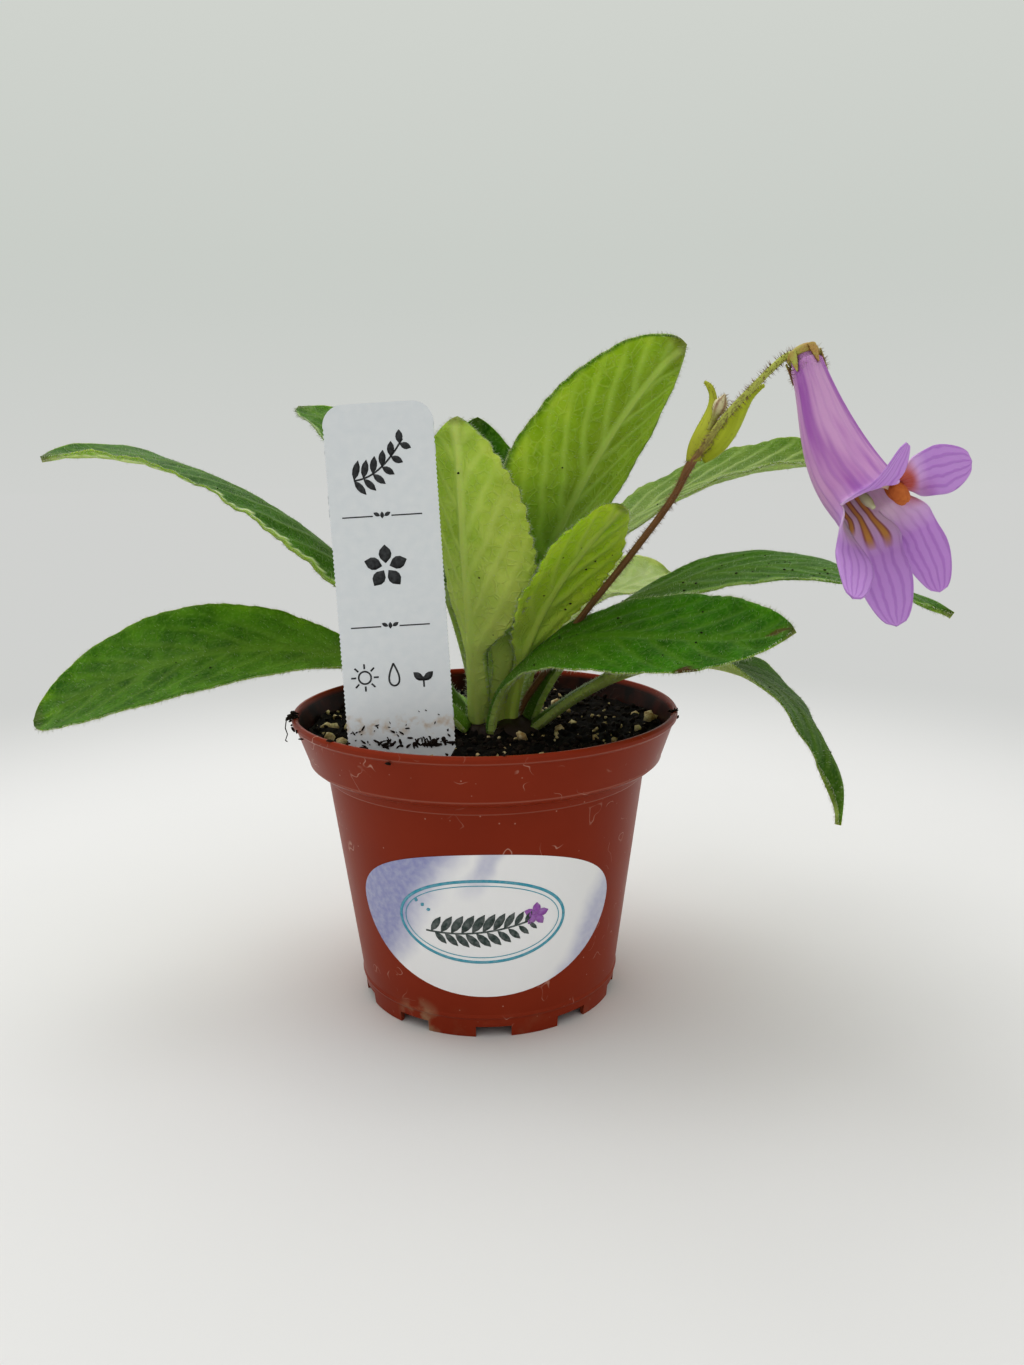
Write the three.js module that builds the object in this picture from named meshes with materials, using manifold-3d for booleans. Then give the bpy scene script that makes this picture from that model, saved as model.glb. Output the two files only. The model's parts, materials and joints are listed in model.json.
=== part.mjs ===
// Potted moonlight primulina: a rosette of long hairy leaves with one drooping lilac flower,
// in a 4 inch plastic nursery pot with a stake label and a sticker.
// Millimetres, +Z up. The origin is the middle of the pot's underside, and -Y is the front.
import * as THREE from "three";
import { mergeVertices } from "three/addons/utils/BufferGeometryUtils.js";
import Module from "manifold-3d";

const wasm = await Module();
wasm.setup();

// Driving dimensions
const POT = {
  rimRadius: 51,
  height: 78,
  collarFoot: 66,
  collarFootRadius: 46.8,
  bodyTop: 62,
  bodyTopRadius: 42.4,
  lineRingZ: 5.6,
  lineRingRadius: 35,
  wall: 1.2,
  discRadius: 24,
  ringFloor: 2.6,
  ringFootRadius: 33.8,
  notches: 10,
  notch: [8, 9, 4],
  drain: [5, 5, 6],
  drainRadius: 30,
  notchTurn: 2.5,
  sides: 36,
};
const GAP = 0.3;
const SOIL = { level: 72.8, edgeLevel: 72, bump: 0.55, grains: 11 };
const CROWN = { x: 4.5, y: 0, radius: 10.5, top: 75 };
const LABEL = {
  width: 26,
  length: 102,
  pointLength: 20,
  cornerRadius: 5,
  thickness: 0.7,
  foot: [-19.5, -30.6, 75],
  head: [-22, -23.5, 156],
};
const STICKER = { middleZ: 34, above: 17.2, below: 22.2, halfTurn: 52, thickness: 0.5, standOff: 0.5 };
// The petiole's width is a share of the leaf's, and its depth a share of its own width.
const LEAF = {
  stations: 24, halfAcross: 2, margin: 0.7, midrib: 1.3, petioleShare: 0.118, petioleDepth: 0.6,
  narrowest: 0.6, tooth: 0.03, waveDepth: 0.5, waveStep: 0.42,
};
const BRACT = { ...LEAF, stations: 10, margin: 0.65, midrib: 0.9, petioleShare: 0.4, petioleDepth: 0.27 };
const STALK_RADIUS = 0.95;
const FLOWER = {
  base: [66.2, -59.3, 162.4],
  tube: 36,
  heading: -62,
  dip: 51.6,
  turn: 10,
  belly: 3.4,
  wall: 0.8,
  radii: [3.3, 4.1, 5.6, 6.7, 7],
  flare: 4,
  footEnd: 0.06,
  footStep: 0.5,
  lobeStart: 0.93,
  lobeHalfTurn: 34,
};

// Each leaf: where it leaves the crown, then heading and rise of its midrib, roll of its blade
// and fold of its two halves in degrees, evenly spaced from root to tip, length and width in mm,
// the share of its length that is petiole, and where its blade is widest.
const LEAVES = {
  leaf_right_front: {
    root: [1.5, -7.5, 72.5], heading: [-30, -40, -38], rise: [86, 24, 3, 20],
    roll: [27, 24, 35], fold: [-2, 3, 10], length: 98, width: 32, petiole: 0.06, peak: 0.59,
  },
  leaf_front_left: {
    root: [-1.5, -3, 73.5], heading: [-97, -100, -101], rise: [69, 73, 79, 75],
    roll: [-4, -37, -11], fold: [16, 20, 3], length: 82, width: 37, petiole: 0.19, peak: 0.53,
  },
  leaf_front_right: {
    root: [3, -2.5, 73.5], heading: [-40, -24, -10], rise: [82, 67, 59, 41],
    roll: [-8, -24, -35], fold: [15, 15, 9], length: 109, width: 43, petiole: 0.09, peak: 0.6,
  },
  leaf_right_arch: {
    root: [11.2, 1.8, 72.5], heading: [-31, -10, -25], rise: [71, 32, 0, -31],
    roll: [37, 11, -3], fold: [-22, 1, -11], length: 126, width: 37, petiole: 0.32, peak: 0.53,
  },
  leaf_right_droop: {
    root: [13, -3, 72.5], heading: [-15, -19, -21], rise: [39, 15, -38, -93],
    roll: [12, -6, 13], fold: [14, 11, -36], length: 108, width: 35, petiole: 0.18, peak: 0.46,
  },
  leaf_young_right: {
    root: [6.6, -2, 73.5], heading: [-54, -47, -16], rise: [84, 61, 51, 41],
    roll: [-12, -4, -18], fold: [13, -10, 6], length: 70, width: 28, petiole: 0.28, peak: 0.7,
  },
  leaf_left_low: {
    root: [-5, -4, 72.5], heading: [186, 191, 186], rise: [51, 16, -12, -29],
    roll: [-25, -31, -23], fold: [12, 11, 9], length: 118, width: 34, petiole: 0.25, peak: 0.61,
  },
  leaf_left_high: {
    root: [-4.5, 1, 72.5], heading: [163, 183, 195], rise: [58, 48, 26, -12],
    roll: [-31, -4, -12], fold: [-7, -15, 15], length: 137, width: 33, petiole: 0.12, peak: 0.61,
  },
  leaf_left_back: {
    root: [-2, 4.5, 73], heading: [161, 157, 154], rise: [83, 70, 51, 12],
    roll: [24, 0, -10], fold: [-6, 4, 5], length: 105, width: 29, petiole: 0.34, peak: 0.57,
  },
  leaf_right_back: {
    root: [9, 5, 73], heading: [28, 21, 14], rise: [82, 46, 16, 2],
    roll: [26, -2, 20], fold: [20, 8, 14], length: 136, width: 37, petiole: 0.14, peak: 0.7,
  },
  leaf_back_pale: {
    root: [6, 8, 73], heading: [60, 49, 49], rise: [51, 27, 11, 2],
    roll: [-1, 6, 30], fold: [10, 5, 19], length: 92, width: 29, petiole: 0.2, peak: 0.67,
  },
  leaf_back_upright: {
    root: [1, 3, 73.5], heading: [115, 102, 88], rise: [84, 83, 80, 72],
    roll: [0, 8, 14], fold: [12, 12, 8], length: 81, width: 26, petiole: 0.2, peak: 0.6,
  },
  leaf_back_low: {
    root: [-1, 8, 72.5], heading: [140, 148, 155], rise: [30, 16, 8, -10],
    roll: [0, 0, 0], fold: [10, 8, 4], length: 62, width: 22, petiole: 0.22, peak: 0.6,
  },
};

// The stalk's middle line from the crown to the calyx, with the bracts' node at STALK_NODE.
const STALK_NODE = [47, -40, 141];
const STALK_PATH = [
  [8, 1.2, 73], [11.2, -0.4, 80], [16.2, -3.8, 88], [24, -12, 102], [35, -21, 118], [44, -33, 133],
  STALK_NODE, [49.8, -43.2, 145.4], [53, -47, 151], [57.6, -53, 157.2], [61.2, -56.4, 161.4],
  [63.3, -57.4, 163.9], [64.8, -57.6, 164.8],
];
const BRACTS = {
  bract_left: {
    root: [46.2, -40, 142], heading: [182, 180, 172], rise: [104, 94, 104, 62],
    roll: [0, 0, 0], fold: [34, 30, 10], length: 18, width: 8, petiole: 0, peak: 0.36,
  },
  bract_right: {
    root: [49.8, -41, 142], heading: [-24, -30, -34], rise: [22, 52, 60, 50],
    roll: [0, 0, 0], fold: [34, 30, 12], length: 21, width: 9, petiole: 0, peak: 0.42,
  },
};
const BUD = { foot: [50.1, -42.2, 146.9], tip: [54.4, -45.4, 157.8], radius: 1.5 };

// Colours as they look in daylight
const COLOUR = {
  pot: 0x9c4a32, sticker: 0xe6e4f2, soil: 0x1c1613, label: 0xeff1f3, crown: 0x6f8f2e,
  leaf: 0x3f7a26, leafUnder: 0x8fb046, youngLeaf: 0x86a83a, stalk: 0x7a4a33, bract: 0x9db344,
  bud: 0xa8a860, calyx: 0xa6a052, corolla: 0xb486cf, stamen: 0xc9772f, pistil: 0xcdd49a,
};

const radians = THREE.MathUtils.degToRad;
const vector = (a) => new THREE.Vector3(a[0], a[1], a[2]);

// A small seeded generator, so that each run gives the same soil.
function seeded(seed) {
  let state = seed;
  return () => {
    state = (state * 1664525 + 1013904223) % 4294967296;
    return state / 4294967296;
  };
}

// Closed three.js geometry to a solid, turned to face out.
function solid(geometry) {
  const bare = geometry.clone();
  bare.deleteAttribute("normal");
  bare.deleteAttribute("uv");
  const merged = mergeVertices(bare, 1e-4);
  const corners = new Uint32Array(merged.index.array);
  const make = () =>
    new wasm.Manifold(
      new wasm.Mesh({
        numProp: 3,
        vertProperties: new Float32Array(merged.attributes.position.array),
        triVerts: corners,
      }),
    );
  let made = make();
  if (made.volume() < 0) {
    for (let i = 0; i < corners.length; i += 3)
      [corners[i + 1], corners[i + 2]] = [corners[i + 2], corners[i + 1]];
    made = make();
  }
  return made;
}

// A solid back to geometry, its largest body alone, so that a cut leaves no loose scrap.
function geometryOf(body) {
  const largest = body.decompose().reduce((a, b) => (a.volume() > b.volume() ? a : b));
  const mesh = largest.getMesh();
  const geometry = new THREE.BufferGeometry();
  const places = new Float32Array(mesh.vertProperties);
  geometry.setAttribute("position", new THREE.BufferAttribute(places, 3));
  geometry.setIndex([...mesh.triVerts]);
  return geometry;
}

// Geometry from a list of points and one of triangles.
function pointsToGeometry(points, faces) {
  const geometry = new THREE.BufferGeometry();
  geometry.setAttribute(
    "position",
    new THREE.BufferAttribute(new Float32Array(points.flatMap((p) => [p.x, p.y, p.z])), 3),
  );
  geometry.setIndex(faces.flat());
  return geometry;
}

// A thin closed sheet: the upper and lower rows of points have the same triangles on both faces.
function sheet(upper, lower) {
  const rows = upper.length;
  const across = upper[0].length;
  const points = [...upper.flat(), ...lower.flat()];
  const at = (side, i, j) => side * rows * across + i * across + j;
  const faces = [];
  const quad = (a, b, c, d) => faces.push([a, b, c], [a, c, d]);
  for (let i = 0; i < rows - 1; i++)
    for (let j = 0; j < across - 1; j++) {
      quad(at(0, i, j), at(0, i, j + 1), at(0, i + 1, j + 1), at(0, i + 1, j));
      faces.push([at(1, i, j), at(1, i + 1, j + 1), at(1, i, j + 1)]);
      faces.push([at(1, i, j), at(1, i + 1, j), at(1, i + 1, j + 1)]);
    }
  for (let i = 0; i < rows - 1; i++) {
    quad(at(0, i, 0), at(0, i + 1, 0), at(1, i + 1, 0), at(1, i, 0));
    const last = across - 1;
    quad(at(0, i + 1, last), at(0, i, last), at(1, i, last), at(1, i + 1, last));
  }
  for (let j = 0; j < across - 1; j++) {
    quad(at(0, 0, j + 1), at(0, 0, j), at(1, 0, j), at(1, 0, j + 1));
    quad(at(0, rows - 1, j), at(0, rows - 1, j + 1), at(1, rows - 1, j + 1), at(1, rows - 1, j));
  }
  return solid(pointsToGeometry(points, faces));
}

// A closed body through rings of points, with a flat fan over each end.
function loft(rings) {
  const count = rings[0].length;
  const points = rings.flat();
  const faces = [];
  for (let i = 0; i < rings.length - 1; i++)
    for (let j = 0; j < count; j++) {
      const next = (j + 1) % count;
      const a = i * count + j;
      const b = i * count + next;
      faces.push([a, b, b + count], [a, b + count, a + count]);
    }
  const middle = (ring) =>
    ring.reduce((sum, p) => sum.add(p), new THREE.Vector3()).divideScalar(count);
  const first = points.push(middle(rings[0])) - 1;
  const last = points.push(middle(rings.at(-1))) - 1;
  const start = (rings.length - 1) * count;
  for (let j = 0; j < count; j++) {
    const next = (j + 1) % count;
    faces.push([first, next, j], [last, start + j, start + next]);
  }
  return solid(pointsToGeometry(points, faces));
}

// A solid of revolution about Z from [radius, height] pairs.
function revolved(profile, sides) {
  const geometry = new THREE.LatheGeometry(profile.map(([r, z]) => new THREE.Vector2(r, z)), sides);
  return geometry.rotateX(Math.PI / 2);
}

// The value at s (0 to 1) of the smooth curve through evenly spaced values.
function through(values, s) {
  const steps = values.length - 1;
  return values.reduce((sum, value, i) => {
    let weight = value;
    for (let j = 0; j <= steps; j++) if (j !== i) weight *= (s * steps - j) / (i - j);
    return sum + weight;
  }, 0);
}

// Half width at s as a share of the widest: a blade that swells from the petiole and closes to a tip.
function halfWidthShare(s, petiole, peak) {
  const u = THREE.MathUtils.clamp((s - petiole) / (1 - petiole), 0, 1);
  const rise = 1.15;
  const fall = (rise * (1 - peak)) / peak;
  return (u ** rise * (1 - u) ** fall) / (peak ** rise * (1 - peak) ** fall);
}

// The midrib as a list of frames: place, way along, way across and upper normal.
function midrib(leaf, stations) {
  const frames = [];
  const place = vector(leaf.root);
  let before = null;
  for (let i = 0; i <= stations; i++) {
    const s = i / stations;
    const heading = radians(through(leaf.heading, s));
    const rise = radians(through(leaf.rise, s));
    const roll = radians(through(leaf.roll, s));
    const along = new THREE.Vector3(
      Math.cos(rise) * Math.cos(heading), Math.cos(rise) * Math.sin(heading), Math.sin(rise),
    );
    const level = new THREE.Vector3(-Math.sin(heading), Math.cos(heading), 0);
    const upright = along.clone().cross(level);
    if (before) place.addScaledVector(before.clone().add(along), leaf.length / stations / 2);
    before = along;
    const across = level.clone().multiplyScalar(Math.cos(roll)).addScaledVector(upright, Math.sin(roll));
    const normal = level.clone().multiplyScalar(-Math.sin(roll)).addScaledVector(upright, Math.cos(roll));
    frames.push({ s, place: place.clone(), along, across, normal });
  }
  return frames;
}

// One leaf: toothed and waved edges, a thicker midrib, and a petiole at its root.
// Grown by some millimetres it is the clearance that its neighbours keep.
function leafSolid(leaf, grow = 0, form = LEAF) {
  const petioleWidth = leaf.width * form.petioleShare;
  const petioleThick = petioleWidth * form.petioleDepth;
  const upper = [];
  const lower = [];
  for (const frame of midrib(leaf, form.stations)) {
    const { s } = frame;
    if (s === 0) frame.place.addScaledVector(frame.along, -grow);
    if (s === 1) frame.place.addScaledVector(frame.along, grow);
    const i = Math.round(s * form.stations);
    const share = halfWidthShare(s, leaf.petiole, leaf.peak);
    const petioleHalf = (petioleWidth / 2) * Math.sqrt(Math.max(0, 1 - s));
    const toothed = share > 0.35 && s < 0.95;
    const tooth = toothed ? 1 + form.tooth * (i % 2 ? 1 : -1) : 1;
    const blade = (share * leaf.width * tooth) / 2;
    const half = Math.max(blade, petioleHalf, form.narrowest) + grow;
    const leafy = THREE.MathUtils.smoothstep(blade, petioleWidth * 0.5, petioleWidth * 1.6);
    const middle = THREE.MathUtils.lerp(petioleThick, form.midrib, leafy) * (s > 0.9 ? 0.7 : 1);
    const edge = THREE.MathUtils.lerp(petioleThick * 0.6, form.margin, leafy);
    const fold = radians(through(leaf.fold, s));
    const waveDepth = leafy * Math.min(form.waveDepth, blade * 0.05);
    const wave = waveDepth * Math.sin(s * leaf.length * form.waveStep);
    const above = [];
    const below = [];
    for (let j = -form.halfAcross; j <= form.halfAcross; j++) {
      const v = j / form.halfAcross;
      const point = frame.place
        .clone()
        .addScaledVector(frame.across, v * half * Math.cos(fold))
        .addScaledVector(frame.normal, v * v * (half * Math.sin(fold) + wave * Math.sign(j)));
      const thick = THREE.MathUtils.lerp(middle, edge, Math.abs(v)) / 2 + grow;
      above.push(point.clone().addScaledVector(frame.normal, thick));
      below.push(point.clone().addScaledVector(frame.normal, -thick));
    }
    upper.push(above);
    lower.push(below);
  }
  return sheet(upper, lower);
}

const group = new THREE.Group();

function add(name, body, colour, roughness) {
  const material = new THREE.MeshStandardMaterial({ color: colour, roughness, metalness: 0 });
  const mesh = new THREE.Mesh(geometryOf(body), material);
  mesh.name = name;
  group.add(mesh);
}

// Pot: one moulding, with a beaded rim, a collar, a line ring, a raised ring floor and drain notches
function bodyRadius(z) {
  const slope = (POT.bodyTopRadius - POT.lineRingRadius) / (POT.bodyTop - POT.lineRingZ);
  return POT.lineRingRadius + (z - POT.lineRingZ) * slope;
}
const potOutside = [
  [0, 0], [POT.discRadius, 0], [POT.discRadius + 0.6, POT.ringFloor],
  [POT.ringFootRadius - 0.9, POT.ringFloor], [POT.ringFootRadius - 0.5, 0], [POT.ringFootRadius + 0.6, 0],
  [POT.lineRingRadius - 0.1, POT.lineRingZ - 0.7], [POT.lineRingRadius + 0.35, POT.lineRingZ],
  [bodyRadius(6.4), 6.4], [POT.bodyTopRadius, POT.bodyTop], [45.6, 64], [POT.collarFootRadius, 65.4],
  [POT.collarFootRadius + 0.1, POT.collarFoot], [50.2, 75.8], [POT.rimRadius, 76.4],
  [POT.rimRadius, 77.4], [50.3, POT.height], [49.7, 77.6],
];
const potInside = [
  [49, 76], [45.6, POT.collarFoot], [44.6, 65], [bodyRadius(63) - POT.wall, 63],
  [bodyRadius(8) - POT.wall, 8], [POT.ringFootRadius - 0.2, POT.ringFloor + POT.wall],
  [POT.discRadius - 0.6, POT.ringFloor + POT.wall], [POT.discRadius - 1.4, POT.wall], [0, POT.wall],
];
let pot = solid(revolved([...potOutside, ...potInside], POT.sides));
for (let i = 0; i < POT.notches; i++) {
  const turn = radians(-90 + POT.notchTurn + (i * 360) / POT.notches);
  const notch = new THREE.BoxGeometry(...POT.notch).translate(POT.ringFootRadius + 1.2, 0, 0.9);
  const drain = new THREE.BoxGeometry(...POT.drain).translate(POT.drainRadius, 0, 3.9);
  pot = pot.subtract(solid(notch.rotateZ(turn))).subtract(solid(drain.rotateZ(turn)));
}
add("pot", pot, COLOUR.pot, 0.45);

// Sticker: a thin skin on the pot's front, wider than high, with a flatter top
const stickerRows = 12;
const stickerColumns = 12;
const stickerFaces = [STICKER.thickness / 2, -STICKER.thickness / 2].map((shift) => {
  const rows = [];
  for (let i = 0; i <= stickerRows; i++) {
    const q = Math.sin(((i / stickerRows) * 2 - 1) * Math.PI * 0.49);
    const z = STICKER.middleZ + q * (q > 0 ? STICKER.above : STICKER.below);
    const half = STICKER.halfTurn * Math.sqrt(1 - q * q);
    const radius = bodyRadius(z) + STICKER.standOff + STICKER.thickness / 2 + shift;
    const row = [];
    for (let j = 0; j <= stickerColumns; j++) {
      const turn = radians(-90 + half * ((2 * j) / stickerColumns - 1));
      row.push(new THREE.Vector3(radius * Math.cos(turn), radius * Math.sin(turn), z));
    }
    rows.push(row);
  }
  return rows;
});
add("pot_sticker", sheet(stickerFaces[0], stickerFaces[1]), COLOUR.sticker, 0.3);

// Crown: the low mound of the short stem, half sunk in the soil
function crownSolid(grow) {
  const profile = [
    [0, 58 - grow], [3 + grow, 58 - grow], [7 + grow, 66], [CROWN.radius + grow, 71],
    [CROWN.radius - 1 + grow, 73 + grow], [CROWN.radius - 4 + grow, 74.4 + grow], [0, CROWN.top + grow],
  ];
  return solid(revolved(profile, 18).translate(CROWN.x, CROWN.y, 0));
}
add("crown", crownSolid(0), COLOUR.crown, 0.7);

// Stalk: one round stem from the crown through the bracts' node to the calyx
function stalkSolid(grow) {
  const radius = STALK_RADIUS + grow;
  const points = STALK_PATH.map(vector);
  const end = points.at(-1);
  end.addScaledVector(end.clone().sub(points.at(-2)).normalize(), grow);
  const path = new THREE.CatmullRomCurve3(points, false, "centripetal");
  const sides = 8;
  const section = new THREE.Shape();
  for (let i = 0; i < sides; i++) {
    const turn = (2 * Math.PI * i) / sides;
    const x = radius * Math.cos(turn);
    const y = radius * Math.sin(turn);
    if (i === 0) section.moveTo(x, y);
    else section.lineTo(x, y);
  }
  section.closePath();
  const swept = new THREE.ExtrudeGeometry(section, { steps: 28, bevelEnabled: false, extrudePath: path });
  return solid(swept);
}
const crownRoom = crownSolid(GAP);
const stalkRoom = stalkSolid(GAP);
const stalk = stalkSolid(0).subtract(crownRoom);
add("flower_stalk", stalk, COLOUR.stalk, 0.7);

// Leaves: each is seated on the crown and clear of the stalk and of the leaves before it
const leafRooms = [crownRoom, stalkRoom];
for (const [name, leaf] of Object.entries(LEAVES)) {
  let body = leafSolid(leaf);
  for (const room of leafRooms) body = body.subtract(room);
  leafRooms.push(leafSolid(leaf, GAP));
  const pale = name.startsWith("leaf_front") || name === "leaf_back_pale";
  const young = name === "leaf_young_right";
  add(name, body, young ? COLOUR.youngLeaf : pale ? COLOUR.leafUnder : COLOUR.leaf, 0.55);
}

// Plant label: a flat stake with round shoulders and a short point, leaning back and to the left
function labelSolid(grow) {
  const half = LABEL.width / 2 + grow;
  const round = LABEL.cornerRadius;
  const outline = new THREE.Shape();
  outline.moveTo(0, -grow);
  outline.lineTo(half, LABEL.pointLength);
  outline.lineTo(half, LABEL.length - round);
  outline.absarc(half - round, LABEL.length - round + grow, round, 0, Math.PI / 2, false);
  outline.absarc(round - half, LABEL.length - round + grow, round, Math.PI / 2, Math.PI, false);
  outline.lineTo(-half, LABEL.pointLength);
  outline.closePath();
  const depth = LABEL.thickness + 2 * grow;
  const plate = new THREE.ExtrudeGeometry(outline, { depth, bevelEnabled: false, curveSegments: 5 });
  plate.translate(0, 0, -depth / 2);
  const foot = vector(LABEL.foot);
  const head = vector(LABEL.head);
  const up = head.clone().sub(foot).normalize();
  const right = new THREE.Vector3(1, 0, 0);
  right.addScaledVector(up, -right.dot(up)).normalize();
  const out = right.clone().cross(up);
  const tip = head.clone().addScaledVector(up, -LABEL.length);
  return solid(plate.applyMatrix4(new THREE.Matrix4().makeBasis(right, up, out).setPosition(tip)));
}
const label = labelSolid(0);
add("plant_label", label, COLOUR.label, 0.35);

// Soil: fills the pot to just under its collar's top, with an uneven top and grains standing out
const random = seeded(11);
const soilProfile = [
  [0, POT.wall + GAP], [POT.discRadius - 1.8, POT.wall + GAP],
  [POT.discRadius - 1.1, POT.ringFloor + POT.wall + GAP], [33.2, POT.ringFloor + POT.wall + GAP],
  [bodyRadius(8) - POT.wall - GAP, 8], [bodyRadius(62.8) - POT.wall - GAP, 63], [44.1, 65.2],
  [45.2, POT.collarFoot], [47.3, SOIL.edgeLevel], [43, SOIL.level - 0.3], [36, SOIL.level],
  [28, SOIL.level], [20, SOIL.level], [12, SOIL.level], [0, SOIL.level],
];
const soilGeometry = revolved(soilProfile, POT.sides);
const soilPoints = soilGeometry.attributes.position;
for (let i = 0; i < soilPoints.count; i++) {
  const x = soilPoints.getX(i);
  const y = soilPoints.getY(i);
  const radius = Math.hypot(x, y);
  if (soilPoints.getZ(i) < SOIL.level - 0.4 || radius > 44 || radius < 11) continue;
  const bump = Math.sin(x * 0.61 + y * 0.23) + Math.sin(y * 0.53 - x * 0.17) * Math.cos(x * 0.31);
  soilPoints.setZ(i, soilPoints.getZ(i) + SOIL.bump * 0.5 * bump);
}
let soil = solid(soilGeometry);
for (let i = 0; i < SOIL.grains; i++) {
  const turn = random() * 2 * Math.PI;
  const reach = 19 + random() * 23;
  const size = 1.1 + random() * 1.1;
  const grain = new THREE.IcosahedronGeometry(size, 0).scale(1.2, 0.9, 0.7).rotateZ(random() * 3);
  grain.translate(reach * Math.cos(turn), reach * Math.sin(turn), SOIL.level + 0.1);
  soil = soil.add(solid(grain));
}
for (const room of [...leafRooms, labelSolid(GAP)]) soil = soil.subtract(room);
add("soil", soil, COLOUR.soil, 0.95);

// Bracts and bud at the stalk's node
for (const [name, bract] of Object.entries(BRACTS))
  add(name, leafSolid(bract, 0, BRACT).subtract(stalkRoom), COLOUR.bract, 0.6);

// Rings of points round a straight line, one for each [share, radius] pair
function ringsAlong(from, to, pairs, sides) {
  const start = vector(from);
  const way = vector(to).sub(start);
  const zAxis = new THREE.Vector3(0, 0, 1);
  const turn = new THREE.Quaternion().setFromUnitVectors(zAxis, way.clone().normalize());
  return pairs.map(([share, radius]) => {
    const ring = [];
    for (let j = 0; j < sides; j++) {
      const angle = (2 * Math.PI * j) / sides;
      const spoke = new THREE.Vector3(radius * Math.cos(angle), radius * Math.sin(angle), 0);
      ring.push(spoke.applyQuaternion(turn).add(start).addScaledVector(way, share));
    }
    return ring;
  });
}
const budPairs = [[0, 0.6], [0.45, 0.65], [0.58, 1.2], [0.75, BUD.radius], [0.92, 1], [1, 0.35]];
const bud = loft(ringsAlong(BUD.foot, BUD.tip, budPairs, 8));
let budClear = bud.subtract(stalkRoom);
for (const bract of Object.values(BRACTS)) budClear = budClear.subtract(leafSolid(bract, GAP, BRACT));
add("flower_bud", budClear, COLOUR.bud, 0.7);

// Flower frame: down the tube, to its upper side, and across
const tubeHeading = radians(FLOWER.heading);
const tubeDip = radians(FLOWER.dip);
const down = new THREE.Vector3(
  Math.cos(tubeDip) * Math.cos(tubeHeading),
  Math.cos(tubeDip) * Math.sin(tubeHeading),
  -Math.sin(tubeDip),
);
const levelAcross = new THREE.Vector3(-Math.sin(tubeHeading), Math.cos(tubeHeading), 0);
const steepUp = down.clone().cross(levelAcross);
if (steepUp.z < 0) steepUp.negate();
// The way between two directions at right angles, turned by an angle from the first.
const between = (first, second, angle) =>
  first.clone().multiplyScalar(Math.cos(angle)).addScaledVector(second, Math.sin(angle));
const topSide = between(steepUp, levelAcross, radians(FLOWER.turn));
const sideways = down.clone().cross(topSide);
const flowerBase = vector(FLOWER.base);

// The tube's middle line bellies out on the lower side, and its radius swells to the throat.
function tubeMiddle(s) {
  const share = THREE.MathUtils.clamp(s, 0, 1);
  const belly = FLOWER.belly * Math.sin(Math.PI * share ** 1.25 * 0.86);
  return flowerBase.clone().addScaledVector(down, s * FLOWER.tube).addScaledVector(topSide, -belly);
}
function tubeRadius(s) {
  return through(FLOWER.radii, THREE.MathUtils.clamp(s, 0, 1)) + Math.max(0, s - 1) * FLOWER.flare;
}
// A point of the tube's cross-section at s, at an angle from its upper side.
const tubePoint = (s, radius, angle) =>
  tubeMiddle(s).addScaledVector(between(topSide, sideways, angle), radius);
const ringAround = (s, radius, sides) =>
  Array.from({ length: sides }, (_, j) => tubePoint(s, radius, (2 * Math.PI * j) / sides));
const tubeRing = (s, shift, sides) => ringAround(s, tubeRadius(s) + shift, sides);
const tubeSides = 16;
const stationsAlong = (from, to, count) =>
  Array.from({ length: count + 1 }, (_, i) => from + ((to - from) * i) / count);
const tubeShift = (s) => (s < FLOWER.footEnd ? -FLOWER.footStep : 0);
const tubeWall = (from, to, count, shift) =>
  loft(stationsAlong(from, to, count).map((s) => tubeRing(s, tubeShift(s) + shift, tubeSides)));
let corolla = tubeWall(0, 1, 7, 0).subtract(tubeWall(-0.1, 1.1, 8, -FLOWER.wall));

// Lobes: angle round the throat from its upper side, length, flare from the tube's line, and width
const LOBES = [
  { angle: 36, length: 13, flare: 93, width: 9.5 },
  { angle: -36, length: 14, flare: 88, width: 10 },
  { angle: 108, length: 19, flare: 33, width: 9 },
  { angle: -108, length: 20, flare: 33, width: 9.5 },
  { angle: 180, length: 22, flare: 10, width: 9.5 },
];
const lobeRows = 7;
const halfStep = radians(FLOWER.lobeHalfTurn);
for (const lobe of LOBES) {
  const upper = [];
  const lower = [];
  const angle = radians(lobe.angle);
  const middleSpoke = between(topSide, sideways, angle);
  const lateral = between(topSide, sideways, angle + Math.PI / 2);
  const start = tubeMiddle(FLOWER.lobeStart);
  const radius = tubeRadius(FLOWER.lobeStart) - FLOWER.wall / 2;
  for (let i = 0; i <= lobeRows; i++) {
    const q = i / lobeRows;
    const bend = radians(lobe.flare) * Math.min(1, q * 2.2);
    const average = bend * 0.62;
    const way = between(down, middleSpoke, average);
    const normal = between(down, middleSpoke, average + Math.PI / 2);
    const rootHalf = radius * Math.sin(halfStep);
    const full = THREE.MathUtils.lerp(rootHalf, lobe.width / 2, Math.min(1, q * 2));
    const rounding = Math.sqrt(Math.max(0, 1 - (Math.max(0, q - 0.55) / 0.45) ** 2));
    const half = Math.max(0.7, full * rounding);
    const above = [];
    const below = [];
    for (const v of [-1, -0.5, 0, 0.5, 1]) {
      const dip = radius * (1 - Math.cos(halfStep * v)) * (1 - q) ** 2;
      const point = start
        .clone()
        .addScaledVector(middleSpoke, radius - dip)
        .addScaledVector(way, q * (lobe.length + 2))
        .addScaledVector(lateral, half * (q < 0.3 ? Math.sin(halfStep * v) / Math.sin(halfStep) : v));
      above.push(point.clone().addScaledVector(normal, FLOWER.wall / 2));
      below.push(point.clone().addScaledVector(normal, -FLOWER.wall / 2));
    }
    upper.push(above);
    lower.push(below);
  }
  corolla = corolla.add(sheet(upper, lower));
}
add("corolla", corolla, COLOUR.corolla, 0.6);

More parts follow.
